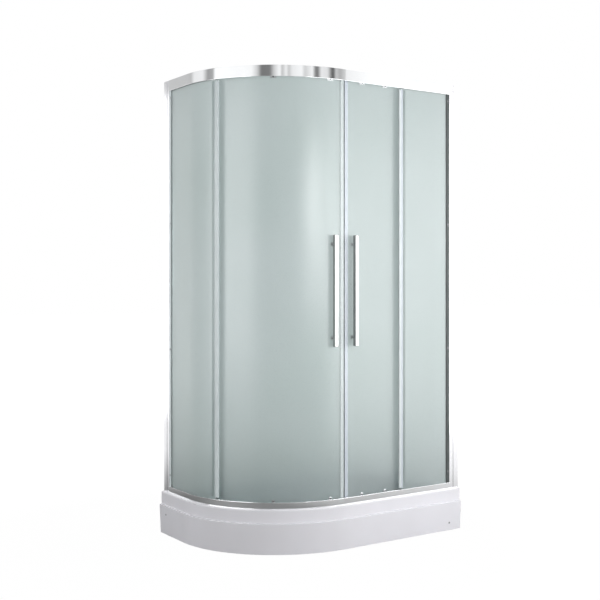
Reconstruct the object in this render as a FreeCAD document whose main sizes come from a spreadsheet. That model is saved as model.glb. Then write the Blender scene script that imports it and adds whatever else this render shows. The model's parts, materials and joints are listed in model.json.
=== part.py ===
import FreeCAD
import Part
import Sketcher
import math
import os
from FreeCAD import Rotation, Vector

# Offset quadrant shower enclosure on a raised tray.  Millimetres, +Z up.
# The origin is on the floor, under the middle of the plan rectangle.
# The room's walls are at +X and +Y; the quarter-round corner faces -X and -Y.
# "Inset" is measured inwards from the plan rectangle and its rounded corner.

DIMENSIONS = [
    # plan and heights
    ("plan_length", 1200, "along the straight front, X"),
    ("plan_width", 800, "front to back wall, Y"),
    ("corner_radius", 550, "radius of the rounded corner"),
    ("tray_height", 200, "floor to tray rim"),
    ("total_height", 2150, "floor to top of the upper rail"),
    # tray
    ("tray_skin", 5, "acrylic thickness"),
    ("rim_band", 60, "height of the tray's outer band"),
    ("band_inset", 10, "band face behind the apron face"),
    ("rim_round", 6, "rounding of the rim's outer edge"),
    ("basin_front", 80, "rim width at the front and the corner"),
    ("basin_wall", 50, "rim width along the walls"),
    ("basin_depth", 95, "rim to basin floor"),
    ("basin_corner", 60, "plan radius of the basin's other corners"),
    ("basin_round", 24, "floor to side rounding"),
    ("basin_lip", 7, "rounding from rim to basin"),
    # apron
    ("apron_skin", 4, "panel thickness"),
    ("apron_lean", 6, "how far the foot of the apron leans in"),
    ("apron_gap", 4, "floor to apron"),
    ("apron_flange", 16, "depth of the top flange"),
    ("apron_screw_height", 40, "screw on the front"),
    ("apron_screw_upper", 100, "screw on the side"),
    ("apron_screw_back", 70, "screws from the wall"),
    # board, frame and feet under the tray
    ("board_skin", 12, "plywood board under the basin floor"),
    ("board_inset", 60, "board edge inside the basin edge"),
    ("tube_side", 30, "square tube"),
    ("tube_wall", 2, "tube wall"),
    ("bearer_front", -200, "Y of the front bearer's middle"),
    ("bearer_back", 240, "Y of the back bearer's middle"),
    ("bearer_right", 460, "X of the bearers' right ends"),
    ("bearer_front_left", -250, "X of the front bearer's left end"),
    ("bearer_back_left", -440, "X of the back bearer's left end"),
    ("cross_middle", 90, "X of the middle cross tube"),
    ("boss_height", 18, "threaded boss under a tube"),
    ("boss_radius", 12, "boss radius"),
    ("stem_radius", 6, "threaded foot stem"),
    ("stem_fit", 0.1, "radial clearance round the stem"),
    ("stem_play", 1, "stem's end below the tube"),
    ("pad_radius", 25, "foot pad radius"),
    ("pad_height", 6, "foot pad thickness"),
    ("pad_neck", 8, "height of the neck round the stem"),
    ("nut_height", 9, "lock nut"),
    ("nut_radius", 11, "lock nut, centre to corner"),
    # waste
    ("waste_x", 290, "waste centre"),
    ("waste_y", 120, "waste centre"),
    ("waste_hole", 43, "hole radius in the basin floor"),
    ("waste_wall", 3, "trap wall"),
    ("waste_bottom", 12, "floor to trap"),
    ("waste_seal", 2, "rubber seal under the basin floor"),
    ("waste_flange", 55, "flange radius"),
    ("waste_flange_skin", 2.5, "flange thickness"),
    ("waste_tube", 38, "bore radius of the flange tube"),
    ("cover_radius", 54, "lift-off cover"),
    ("cover_height", 9, "dome height"),
    ("cover_skirt", 6, "skirt below the cover's rim"),
    ("cover_gap", 0.3, "cover above the flange"),
    ("outlet_radius", 20, "outlet pipe"),
    ("outlet_stub", 20, "trap's stub inside the pipe's socket"),
    ("outlet_fit", 0.1, "radial clearance round the stub"),
    ("outlet_height", 36, "outlet pipe centre above the floor"),
    ("outlet_end", 20, "pipe end from the back wall"),
    # glass
    ("glass_skin", 5, "toughened glass"),
    ("fixed_inset", 31, "outer face of the fixed glass"),
    ("door_inset", 56, "outer face of the door glass"),
    ("fixed_edge", 862, "free edge of the right fixed glass from the left side"),
    ("fixed_angle", 67.5, "free edge of the curved fixed glass, degrees round the corner"),
    ("meeting_offset", 8, "doors meet this far right of the corner's end"),
    ("door_overlap", 25, "door behind the fixed glass"),
    ("door_overlap_angle", 3, "curved door behind the fixed glass, degrees"),
    ("glass_in_rail", 10, "fixed glass below the rail's web"),
    ("glass_lift", 11, "glass above the lower rail's base"),
    ("door_top", 30, "door glass below the rail's top"),
    # rails
    ("rail_inset", 24, "outer face of the rails"),
    ("rail_depth", 42, "front to back of the rails"),
    ("rail_wall", 2, "rail wall"),
    ("rail_web", 2.5, "top web"),
    ("fascia_height", 50, "upper rail's face"),
    ("sill_height", 28, "lower rail's face"),
    ("sill_back", 10, "lower rail's inner lip"),
    ("lip_inset", 38.5, "outer side of the lip behind the fixed glass"),
    ("lip_low", 4, "upper lip and track above the fascia's lower edge"),
    ("rail_back_low", 24, "upper rail's inner wall above the fascia's lower edge"),
    ("track_inset", 48, "middle of the wheel track"),
    ("track_width", 3, "rib that carries the wheels"),
    ("track_rise", 3.5, "rib above the ledge"),
    ("sill_track", 4.5, "lower rib above the base"),
    # wall profiles
    ("wall_depth", 28, "wall channel out from the wall"),
    ("wall_inset", 24, "outer face of the wall channel"),
    ("wall_width", 32, "wall channel across"),
    ("channel_fit", 0.3, "jamb inside the wall channel"),
    ("jamb_start", 8, "jamb behind, from the wall"),
    ("jamb_end", 51, "jamb face, from the wall"),
    ("jamb_groove", 18, "depth of the glass groove"),
    ("gasket_bed", 3, "rubber behind the glass edge"),
    ("clamp_end", 67, "clamping lip, from the wall"),
    ("clamp_screw", 59, "clamp screws, from the wall"),
    ("clamp_screw_low", 82, "lowest clamp screw above the rim"),
    ("clamp_screw_high", 83, "highest clamp screw below the top"),
    ("wall_screw_low", 130, "lowest wall hole above the rim"),
    ("wall_screw_high", 130, "highest wall hole below the top"),
    ("wall_hole", 2.75, "wall hole radius"),
    # seals
    ("seal_leg", 1.6, "leg of a push-on seal"),
    ("magnet_depth", 6, "magnet strip"),
    ("magnet_leg", 14, "reach of the magnet seal"),
    ("seal_reach", 8, "reach of the fixed glass seals"),
    ("seal_tip", 12, "their lip beyond the glass edge"),
    ("rear_leg", 14, "reach of the door's rear seal"),
    ("seal_gap", 0.3, "between the two magnets, each side"),
    ("fin_inset", 38, "tip of the door's rear fin"),
    ("fin_skin", 1.5, "rear fin"),
    ("seal_low", 8, "seals above the sill face"),
    ("seal_top", 6, "seals below the upper rail's face"),
    # rolling gear
    ("wheel_radius", 10, "upper wheel, at the groove"),
    ("guide_radius", 6, "lower wheel, at the groove"),
    ("flange_rise", 2.5, "wheel flange above the groove"),
    ("wheel_width", 8, "wheel"),
    ("wheel_groove", 4, "groove over the rib"),
    ("wheel_fit", 0.3, "wheel above the rib, hub from the plate"),
    ("axle_radius", 2.5, "axle"),
    ("axle_fit", 0.05, "radial clearance in the wheel"),
    ("axle_head", 4, "radius of the axle's end"),
    ("plate_skin", 3, "hanger plate"),
    ("hanger_width", 28, "hanger plate"),
    ("hanger_low", 3, "hanger below the upper rail"),
    ("hanger_rise", 14, "hanger above the wheel's centre"),
    ("bolt_drop", 17.3, "hanger bolt below the wheel's centre"),
    ("guide_rise", 15, "guide bolt above the wheel's centre"),
    ("guide_half", 8, "half width of a guide plate"),
    ("bolt_radius", 3, "bolt"),
    ("bolt_head", 4.5, "bolt head radius"),
    ("bolt_head_skin", 2.2, "bolt head"),
    ("bolt_nut_skin", 2.2, "inner nut"),
    ("bolt_fit", 0.5, "hole round a bolt"),
    ("right_roller_front", 96, "from the meeting line"),
    ("right_roller_back", 227, "from the meeting line"),
    ("left_roller_front", 7.5, "degrees round the corner"),
    ("left_roller_back", 37.3, "degrees round the corner"),
    ("right_travel", 210, "how far the straight door slides"),
    ("left_travel", 40, "degrees that the curved door turns"),
    ("stop_length", 12, "rubber stop in the upper rail"),
    ("stop_gap", 1.5, "stop beyond the open wheel"),
    ("stop_play", 1, "stop clear of the hanger plates"),
    # handles
    ("handle_length", 500, "bar"),
    ("handle_width", 17, "bar"),
    ("handle_skin", 22, "bar"),
    ("handle_gap", 14, "bar to glass"),
    ("handle_edge", 2, "rounded edges"),
    ("handle_offset", 48, "bar from the meeting line"),
    ("handle_angle", 5.7, "curved door's bar, degrees round the corner"),
    ("handle_middle", 1157, "height of the bar's middle"),
    ("post_spacing", 420, "between posts"),
    ("post_radius", 6, "post"),
    ("knob_radius", 9, "inner cap nut"),
    ("knob_skin", 7, "inner cap nut"),
    # end brackets and screws
    ("bracket_length", 30, "block in the end of a rail"),
    ("bracket_height", 14, "block"),
    ("bracket_play", 1.5, "block inside the rail's walls"),
    ("screw_radius", 2, "small screw"),
    ("screw_head", 4, "head radius"),
    ("screw_head_skin", 1.4, "head"),
    ("screw_seat", 0.2, "apron screw heads off the leaning face"),
    ("screw_length", 12, "shank"),
    ("screw_hole_fit", 0.1, "radial clearance in a drilled hole"),
]

doc = FreeCAD.newDocument("shower_enclosure")
sheet = doc.addObject("Spreadsheet::Sheet", "Dims")
past = 1  # how far a cutting tool runs past a face
near = 1  # how close to a wall side an edge counts as on it
front_way = 270  # degrees, the way from the corner's centre to the front
CENTRE_POINT = 3  # an arc's centre, as the sketcher numbers its points


class Size:
    """A sheet expression together with its present value."""

    def __init__(self, text, value):
        self.text = text
        self.value = value

    def joined(self, sign, other, value, swap=False):
        text = other.text if isinstance(other, Size) else str(other)
        first, second = (text, self.text) if swap else (self.text, text)
        return Size("(" + first + " " + sign + " " + second + ")", value)

    def __add__(self, other):
        return self.joined("+", other, self.value + plain(other))

    def __radd__(self, other):
        return self.joined("+", other, plain(other) + self.value, swap=True)

    def __sub__(self, other):
        return self.joined("-", other, self.value - plain(other))

    def __rsub__(self, other):
        return self.joined("-", other, plain(other) - self.value, swap=True)

    def __mul__(self, other):
        return self.joined("*", other, self.value * plain(other))

    def __rmul__(self, other):
        return self.joined("*", other, plain(other) * self.value, swap=True)

    def __truediv__(self, other):
        return self.joined("/", other, self.value / plain(other))

    def __rtruediv__(self, other):
        return self.joined("/", other, plain(other) / self.value, swap=True)

    def __neg__(self):
        return self.joined("-", 0, -self.value, swap=True)


def plain(value):
    return value.value if isinstance(value, Size) else value


class Dims:
    """The driving dimensions, one named cell each."""

    def __init__(self, rows):
        for number, (name, value, note) in enumerate(rows, start=1):
            sheet.set("A%d" % number, name)
            sheet.set("B%d" % number, str(value))
            sheet.setAlias("B%d" % number, name)
            sheet.set("C%d" % number, note)
            setattr(self, name, Size("Dims." + name, float(value)))


d = Dims(DIMENSIONS)
doc.recompute()

# Lines that the pieces share
left = -d.plan_length / 2
right = d.plan_length / 2
front = -d.plan_width / 2
back = d.plan_width / 2
arc_x = left + d.corner_radius
arc_y = front + d.corner_radius
rim = d.tray_height
rail_low = d.total_height - d.fascia_height
rail_ceiling = d.total_height - d.rail_web
meeting = arc_x + d.meeting_offset
rail_end_right = right - d.jamb_end
rail_end_back = back - d.jamb_end
basin_floor = rim - d.basin_depth
tray_under = basin_floor - d.tray_skin
board_under = tray_under - d.board_skin
tube_under = board_under - d.tube_side
boss_under = tube_under - d.boss_height
track_top = rail_low + d.lip_low + d.rail_wall + d.track_rise
wheel_centre = track_top + d.wheel_fit + d.wheel_radius
guide_centre = rim + d.rail_wall + d.sill_track + d.wheel_fit + d.guide_radius
hanger_bolt = wheel_centre - d.bolt_drop
guide_bolt = guide_centre + d.guide_rise
door_low = rim + d.rail_wall + d.glass_lift
door_high = d.total_height - d.door_top
door_back = d.fixed_edge + d.door_overlap - d.corner_radius
door_angle = d.fixed_angle + d.door_overlap_angle
plate_inset = d.door_inset - d.plate_skin
door_inner = d.door_inset + d.glass_skin
glass_groove = d.rail_inset + d.rail_wall
fixed_low = rim + d.rail_wall + d.glass_lift
fixed_high = rail_ceiling - d.glass_in_rail
seal_bottom = rim + d.sill_height + d.seal_low
seal_ceiling = rail_low - d.seal_top


# How objects are made, placed and tied to the sheet
def bind(obj, path, size):
    if isinstance(size, Size):
        obj.setExpression(path, size.text)
    else:
        setattr(obj, path, size)


def seat(obj, x=0, y=0, z=0, turn=None, axis=Vector(0, 0, 1)):
    """Place an object by expressions, turned by an angle about an axis."""
    if turn is not None:
        obj.Placement = FreeCAD.Placement(Vector(0, 0, 0), Rotation(axis, plain(turn)))
    for letter, size in (("x", x), ("y", y), ("z", z)):
        if isinstance(size, Size):
            obj.setExpression("Placement.Base." + letter, size.text)
        elif size:
            setattr(obj.Placement.Base, letter, size)
    if isinstance(turn, Size):
        obj.setExpression("Placement.Rotation.Angle", turn.text)
    return obj


def box(x0, x1, y0, y1, z0, z1):
    obj = doc.addObject("Part::Box", "Block")
    bind(obj, "Length", x1 - x0)
    bind(obj, "Width", y1 - y0)
    bind(obj, "Height", z1 - z0)
    return seat(obj, x0, y0, z0)


def rod_z(radius, x, y, z0, z1):
    obj = doc.addObject("Part::Cylinder", "Rod")
    bind(obj, "Radius", radius)
    bind(obj, "Height", z1 - z0)
    return seat(obj, x, y, z0)


def rod_y(radius, x, y0, y1, z):
    """A rod along +Y from y0 to y1."""
    obj = doc.addObject("Part::Cylinder", "Rod")
    bind(obj, "Radius", radius)
    bind(obj, "Height", y1 - y0)
    return seat(obj, x, y0, z, turn=-90, axis=Vector(1, 0, 0))


def rod_x(radius, x0, x1, y, z):
    """A rod along +X from x0 to x1."""
    obj = doc.addObject("Part::Cylinder", "Rod")
    bind(obj, "Radius", radius)
    bind(obj, "Height", x1 - x0)
    return seat(obj, x0, y, z, turn=90, axis=Vector(0, 1, 0))


def fuse(parts, label="Joined"):
    if len(parts) == 1:
        parts[0].Label = label
        return parts[0]
    obj = doc.addObject("Part::MultiFuse", "Joined")
    obj.Shapes = parts
    obj.Refine = True
    obj.Label = label
    return obj


def cut(base, tools, label="Cut"):
    obj = doc.addObject("Part::Cut", "Cut")
    obj.Base = base
    obj.Tool = fuse(tools)
    obj.Refine = True
    obj.Label = label
    return obj


def group(parts, label):
    """Identical pieces, or a pair that belongs together, as one node of separate solids."""
    obj = doc.addObject("Part::Compound", "Set")
    obj.Links = parts
    obj.Label = label
    return obj


def shell_sector(inset, skin, z0, z1, start, end):
    """A curved wall round the corner's centre between two angles, in corner coordinates.

    Angles run from the straight front towards the side.
    """
    outer = doc.addObject("Part::Cylinder", "Sector")
    bind(outer, "Radius", d.corner_radius - inset)
    bind(outer, "Height", z1 - z0)
    bind(outer, "Angle", end - start)
    seat(outer, z=z0, turn=front_way - end)
    inner = doc.addObject("Part::Cylinder", "Core")
    bind(inner, "Radius", d.corner_radius - inset - skin)
    bind(inner, "Height", z1 - z0)
    seat(inner, z=z0)
    return cut(outer, [inner])


def corner_seat(obj, turn=0.0, shift=0.0):
    """Carry a piece from corner coordinates to its station on a door."""
    return seat(obj, arc_x + shift, arc_y, turn=-turn if plain(turn) else None)


def face_y(inset):
    """Y of a face on the straight front, in corner coordinates."""
    return inset - d.corner_radius


def attach(body, name, plane, offset=None):
    sketch = body.newObject("Sketcher::SketchObject", name)
    for feature in body.Origin.OriginFeatures:
        if feature.Role == plane:
            sketch.AttachmentSupport = [(feature, "")]
    sketch.MapMode = "FlatFace"
    if offset is not None:
        sketch.setExpression("AttachmentOffset.Base.z", offset.text)
    return sketch


def hold(sketch, geometry, point, x, y):
    """Fix a point of the sketch at two sheet expressions."""
    for axis, size in (("DistanceX", x), ("DistanceY", y)):
        if size is None:
            continue
        number = sketch.addConstraint(Sketcher.Constraint(axis, geometry, point, plain(size)))
        if isinstance(size, Size):
            sketch.setExpression("Constraints[%d]" % number, size.text)


def draw_outline(sketch, corners):
    """A closed outline of lines and quarter arcs, every corner held by the sheet.

    corners: (x, y) for a line to that corner, (x, y, cx, cy) for an arc round (cx, cy).
    """
    first = sketch.GeometryCount
    for number, corner in enumerate(corners):
        start = corners[number - 1]
        begin = Vector(plain(start[0]), plain(start[1]), 0)
        finish = Vector(plain(corner[0]), plain(corner[1]), 0)
        if len(corner) == 2:
            sketch.addGeometry(Part.LineSegment(begin, finish), False)
            continue
        centre = Vector(plain(corner[2]), plain(corner[3]), 0)
        reach = (finish - centre).Length
        middle = centre + ((begin + finish) / 2 - centre).normalize() * reach
        sketch.addGeometry(Part.Arc(begin, middle, finish), False)
    ends = []
    for number in range(len(corners)):
        ends.append(point_numbers(sketch, first + number, corners[number - 1]))
    for number in range(len(corners)):
        after = (number + 1) % len(corners)
        joint = Sketcher.Constraint("Coincident", first + number, ends[number][1],
                                    first + after, ends[after][0])
        sketch.addConstraint(joint)
    for number, corner in enumerate(corners):
        hold(sketch, first + number, ends[number][1], corner[0], corner[1])
        if len(corner) == 4:
            hold(sketch, first + number, CENTRE_POINT, corner[2], None)


def point_numbers(sketch, geometry, start):
    """The numbers of a line's or arc's first and last point: arcs always run anticlockwise."""
    shape = sketch.Geometry[geometry]
    begin = Vector(plain(start[0]), plain(start[1]), 0)
    if (shape.StartPoint - begin).Length < 0.001:
        return (1, 2)
    return (2, 1)


def pad(body, sketch, length, reverse=False):
    feature = body.newObject("PartDesign::Pad", "Pad")
    feature.Profile = sketch
    bind(feature, "Length", length)
    feature.Reversed = reverse
    return feature


def pocket(body, sketch, length, reverse=False):
    feature = body.newObject("PartDesign::Pocket", "Pocket")
    feature.Profile = sketch
    bind(feature, "Length", length)
    feature.Reversed = reverse
    return feature


def new_body(label):
    body = doc.addObject("PartDesign::Body", "Body")
    body.Label = label
    return body


def plan_outline(inset, wall_gap, corner=None):
    """The tray's plan: straight front, round corner, side, and the two wall sides."""
    low, side = front + inset, left + inset
    far, high = right - wall_gap, back - wall_gap
    if corner is None:
        return [(arc_x, low), (far, low), (far, high), (side, high), (side, arc_y),
                (arc_x, low, arc_x, arc_y)][1:]
    return [
        (far - corner, low),
        (far, low + corner, far - corner, low + corner),
        (far, high - corner),
        (far - corner, high, far - corner, high - corner),
        (side + corner, high),
        (side, high - corner, side + corner, high - corner),
        (side, arc_y),
        (arc_x, low, arc_x, arc_y),
    ]


def band_outline(outer, inner, right_end, back_end):
    """A strip that follows the front, the corner and the side."""
    return [
        (right_end, front + outer),
        (right_end, front + inner),
        (arc_x, front + inner),
        (left + inner, arc_y, arc_x, arc_y),
        (left + inner, back_end),
        (left + outer, back_end),
        (left + outer, arc_y),
        (arc_x, front + outer, arc_x, arc_y),
    ]


def bent_extrusion(label, section, right_end=rail_end_right, back_end=rail_end_back):
    """One section of (inset, height) corners, run along the front, the corner and the side."""
    body = new_body(label)
    seat(body, arc_x, arc_y)
    corners = [(inset - d.corner_radius, height) for inset, height in section]
    front_sketch = attach(body, "FrontSection", "YZ_Plane")
    draw_outline(front_sketch, corners)
    pad(body, front_sketch, right_end - arc_x)
    doc.recompute()
    bend = body.newObject("PartDesign::Revolution", "Bend")
    bend.Profile = front_sketch
    bend.ReferenceAxis = (front_sketch, ["V_Axis"])
    bend.Angle = 90
    bend.Reversed = True
    side_sketch = attach(body, "SideSection", "XZ_Plane")
    draw_outline(side_sketch, corners)
    pad(body, side_sketch, back_end - arc_y, reverse=True)
    return body


def straight_extrusion(label, corners, z0, z1, holes=()):
    """A plan outline padded upwards; holes are outlines of through voids."""
    body = new_body(label)
    sketch = attach(body, "Section", "XY_Plane", z0)
    draw_outline(sketch, corners)
    for hole in holes:
        draw_outline(sketch, hole)
    pad(body, sketch, z1 - z0)
    return body


# The tray and its apron
def tray_shell():
    return cut(fuse([tray_rim(), tray_pan()]), [basin_void(), waste_drilling()], "tray_shell")


def tray_rim():
    """The flat rim and the band that hangs from its edge."""
    body = new_body("tray_rim")
    band = attach(body, "BandPlan", "XY_Plane", rim - d.rim_band)
    draw_outline(band, plan_outline(d.band_inset, 0))
    block = pad(body, band, d.rim_band)
    doc.recompute()
    rounding = body.newObject("PartDesign::Fillet", "RimRound")
    rounding.Base = (block, level_edges(block, rim, front_side=True))
    bind(rounding, "Radius", d.rim_round)
    under = attach(body, "Under", "XY_Plane", rim - d.rim_band)
    draw_outline(under, plan_outline(d.band_inset + d.tray_skin, d.tray_skin))
    pocket(body, under, d.rim_band - d.tray_skin, reverse=True)
    return body


def tray_pan():
    """The outside of the basin, under the rim."""
    body = new_body("tray_pan")
    plan = attach(body, "PanPlan", "XY_Plane", tray_under)
    draw_outline(plan, plan_outline(d.basin_front - d.tray_skin, d.basin_wall - d.tray_skin,
                                      d.basin_corner + d.tray_skin))
    block = pad(body, plan, rim - d.tray_skin - tray_under)
    doc.recompute()
    rounding = body.newObject("PartDesign::Fillet", "PanRound")
    rounding.Base = (block, level_edges(block, tray_under))
    bind(rounding, "Radius", d.basin_round + d.tray_skin)
    return body


def basin_void():
    """The space inside the basin, flared where it meets the rim."""
    body = new_body("basin_void")
    plan = attach(body, "BasinPlan", "XY_Plane", basin_floor)
    draw_outline(plan, plan_outline(d.basin_front, d.basin_wall, d.basin_corner))
    pad(body, plan, d.basin_depth)
    above = attach(body, "Above", "XY_Plane", rim)
    draw_outline(above, [(right, front), (right, back), (left, back), (left, front)])
    block = pad(body, above, d.basin_lip * 2)
    doc.recompute()
    floor_round = body.newObject("PartDesign::Fillet", "FloorRound")
    floor_round.Base = (block, level_edges(block, basin_floor))
    bind(floor_round, "Radius", d.basin_round)
    doc.recompute()
    flare = body.newObject("PartDesign::Fillet", "Flare")
    flare.Base = (floor_round, level_edges(floor_round, rim, inside=True))
    bind(flare, "Radius", d.basin_lip)
    return body


def waste_drilling():
    return rod_z(d.waste_hole, d.waste_x, d.waste_y, tray_under - past, basin_floor + past)


def level_edges(feature, height, inside=False, front_side=False):
    """Names of the level edges at one height; the rest is told by their place in plan."""
    names = []
    level = plain(height)
    length, width = plain(d.plan_length) / 2, plain(d.plan_width) / 2
    for number, edge in enumerate(feature.Shape.Edges, start=1):
        bounds = edge.BoundBox
        if abs(bounds.ZMin - level) > 0.01 or abs(bounds.ZMax - level) > 0.01:
            continue
        on_wall = bounds.XMin > length - near or bounds.YMin > width - near
        on_rectangle = on_wall or bounds.XMax < near - length or bounds.YMax < near - width
        if (inside and on_rectangle) or (front_side and on_wall):
            continue
        names.append("Edge%d" % number)
    return names


def front_apron():
    """A leaning panel with a flange that passes under the tray's band."""
    zero = Size("0", 0.0)
    flange_high = rim - d.rim_band
    flange_low = flange_high - d.apron_skin
    panel = bent_extrusion("apron_panel", [
        (d.apron_lean, d.apron_gap),
        (zero, flange_low),
        (zero, flange_high),
        (d.apron_flange, flange_high),
        (d.apron_flange, flange_low),
        (d.apron_skin, flange_low),
        (d.apron_lean + d.apron_skin, d.apron_gap),
    ], right, back)
    return cut(panel, apron_screw_rods(d.screw_radius + d.screw_hole_fit, zero), "front_apron")


def apron_screw_rods(radius, play):
    """The screws' shanks through the apron: one on the front, one on the side."""
    depth = d.screw_length
    front_rod = rod_y(radius, right - d.apron_screw_back, front - play, front + depth,
                      d.apron_screw_height)
    side_rod = rod_x(radius, left - play, left + depth, back - d.apron_screw_back,
                     d.apron_screw_upper)
    return [front_rod, side_rod]


def lean_at(height):
    """How far the apron's face leans in at a height."""
    run = rim - d.rim_band - d.apron_skin - d.apron_gap
    return d.apron_lean * (rim - d.rim_band - d.apron_skin - height) / run


def apron_screws():
    head_y = front + lean_at(d.apron_screw_height) - d.screw_seat
    head_x = left + lean_at(d.apron_screw_upper) - d.screw_seat
    pieces = []
    shank = rod_y(d.screw_radius, right - d.apron_screw_back, head_y, head_y + d.screw_length,
                  d.apron_screw_height)
    head = rod_y(d.screw_head, right - d.apron_screw_back, head_y - d.screw_head_skin, head_y,
                 d.apron_screw_height)
    pieces.append(fuse([shank, head]))
    shank = rod_x(d.screw_radius, head_x, head_x + d.screw_length, back - d.apron_screw_back,
                  d.apron_screw_upper)
    head = rod_x(d.screw_head, head_x - d.screw_head_skin, head_x, back - d.apron_screw_back,
                 d.apron_screw_upper)
    pieces.append(fuse([shank, head]))
    return group(pieces, "apron_screws")


def reinforcing_board():
    inset = d.basin_front + d.board_inset
    gap = d.basin_wall + d.board_inset
    body = straight_extrusion("board_plan", plan_outline(inset, gap), board_under, tray_under)
    hole = rod_z(d.waste_flange + d.waste_wall, d.waste_x, d.waste_y, board_under - past,
                 tray_under + past)
    return cut(body, [hole], "reinforcing_board")


# What carries the tray, and its waste
half_tube = d.tube_side / 2
foot_places = [
    (d.bearer_front_left + half_tube, d.bearer_front),
    (d.bearer_right - half_tube, d.bearer_front),
    (d.bearer_right - half_tube, d.bearer_back),
    (d.bearer_back_left + half_tube, d.bearer_back),
    (d.cross_middle, (d.bearer_front + d.bearer_back) / 2),
]


def tube_x(x0, x1, y):
    outer = box(x0, x1, y - half_tube, y + half_tube, tube_under, board_under)
    half = half_tube - d.tube_wall
    bore = box(x0 - past, x1 + past, y - half, y + half, tube_under + d.tube_wall,
               board_under - d.tube_wall)
    return cut(outer, [bore])


def tube_y(x, y0, y1):
    outer = box(x - half_tube, x + half_tube, y0, y1, tube_under, board_under)
    half = half_tube - d.tube_wall
    bore = box(x - half, x + half, y0 - past, y1 + past, tube_under + d.tube_wall,
               board_under - d.tube_wall)
    return cut(outer, [bore])


def support_frame():
    start, end = d.bearer_front + half_tube, d.bearer_back - half_tube
    tubes = [
        tube_x(d.bearer_front_left, d.bearer_right, d.bearer_front),
        tube_x(d.bearer_back_left, d.bearer_right, d.bearer_back),
        tube_y(d.bearer_front_left + half_tube, start, end),
        tube_y(d.cross_middle, start, end),
        tube_y(d.bearer_right - half_tube, start, end),
    ]
    bosses = [rod_z(d.boss_radius, x, y, boss_under, tube_under) for x, y in foot_places]
    bores = [rod_z(d.stem_radius + d.stem_fit, x, y, boss_under - past, tube_under - d.stem_play)
             for x, y in foot_places]
    return cut(fuse(tubes + bosses), bores, "support_frame")


def foot_stems():
    high = tube_under - d.stem_play
    rods = [rod_z(d.stem_radius, x, y, d.pad_height, high) for x, y in foot_places]
    return group(rods, "foot_stems")


def foot_pads():
    pads = []
    for x, y in foot_places:
        disc = rod_z(d.pad_radius, x, y, Size("0", 0.0), d.pad_height)
        neck = rod_z(d.boss_radius, x, y, d.pad_height, d.pad_height + d.pad_neck)
        bore = rod_z(d.stem_radius + d.stem_fit, x, y, d.pad_height,
                     d.pad_height + d.pad_neck + past)
        pads.append(cut(fuse([disc, neck]), [bore]))
    return group(pads, "foot_pads")


def foot_locknuts():
    nuts = []
    for x, y in foot_places:
        nut = doc.addObject("Part::Prism", "Nut")
        nut.Polygon = 6
        bind(nut, "Circumradius", d.nut_radius)
        bind(nut, "Height", d.nut_height)
        seat(nut, x, y, boss_under - d.nut_height)
        bore = rod_z(d.stem_radius + d.stem_fit, x, y, boss_under - d.nut_height - past,
                     boss_under + past)
        nuts.append(cut(nut, [bore]))
    return group(nuts, "foot_locknuts")


trap_top = tray_under - d.waste_seal
trap_radius = d.waste_hole + d.waste_wall


def waste_trap():
    """A cup under the waste, with a stub that the outlet pipe pushes over."""
    x, y = d.waste_x, d.waste_y
    stub_end = y + trap_radius + d.outlet_stub
    cup = rod_z(trap_radius, x, y, d.waste_bottom, trap_top)
    collar = rod_z(d.waste_flange, x, y, trap_top - d.waste_wall, trap_top)
    stub = rod_y(d.outlet_radius - d.outlet_fit, x, y, stub_end, d.outlet_height)
    bore = rod_z(d.waste_hole, x, y, d.waste_bottom + d.waste_wall, trap_top + past)
    port = rod_y(d.outlet_radius - d.waste_wall, x, y, stub_end + past, d.outlet_height)
    return cut(fuse([cup, collar, stub]), [bore, port], "waste_trap")


def waste_seal():
    ring = rod_z(d.waste_flange, d.waste_x, d.waste_y, trap_top, tray_under)
    bore = rod_z(d.waste_hole, d.waste_x, d.waste_y, trap_top - past, tray_under + past)
    return cut(ring, [bore], "waste_seal")


def waste_flange():
    x, y = d.waste_x, d.waste_y
    plate = rod_z(d.waste_flange, x, y, basin_floor, basin_floor + d.waste_flange_skin)
    tube = rod_z(d.waste_tube + d.waste_wall, x, y, board_under, basin_floor)
    bore = rod_z(d.waste_tube, x, y, board_under - past, basin_floor + d.waste_flange_skin + past)
    return cut(fuse([plate, tube]), [bore], "waste_flange")


def outlet_pipe():
    """A pipe towards the back wall, widened at its start to a socket for the trap's stub."""
    x, height = d.waste_x, d.outlet_height
    stub_end = d.waste_y + trap_radius + d.outlet_stub
    start = d.waste_y + trap_radius + d.waste_wall
    end = back - d.outlet_end
    socket = rod_y(d.outlet_radius + d.waste_wall, x, start, stub_end + d.waste_wall, height)
    pipe = rod_y(d.outlet_radius, x, stub_end, end, height)
    hollow = rod_y(d.outlet_radius, x, start - past, stub_end, height)
    bore = rod_y(d.outlet_radius - d.waste_wall, x, start, end + past, height)
    return cut(fuse([socket, pipe]), [hollow, bore], "outlet_pipe")


def drain_cover():
    """A domed cover whose skirt drops into the flange."""
    body = new_body("drain_cover")
    low = basin_floor + d.waste_flange_skin + d.cover_gap
    seat(body, d.waste_x, d.waste_y, low)
    sketch = attach(body, "Section", "XZ_Plane")
    zero = Size("0", 0.0)
    skirt = d.waste_tube - d.waste_wall
    draw_outline(sketch, [
        (zero, d.cover_height),
        (zero, d.waste_wall),
        (skirt - d.waste_wall, d.waste_wall),
        (skirt - d.waste_wall, -d.cover_skirt),
        (skirt, -d.cover_skirt),
        (skirt, zero),
        (d.cover_radius, zero),
        (d.cover_radius, d.waste_wall),
    ])
    doc.recompute()
    turned = body.newObject("PartDesign::Revolution", "Turned")
    turned.Profile = sketch
    turned.ReferenceAxis = (sketch, ["V_Axis"])
    turned.Angle = 360
    return body


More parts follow.
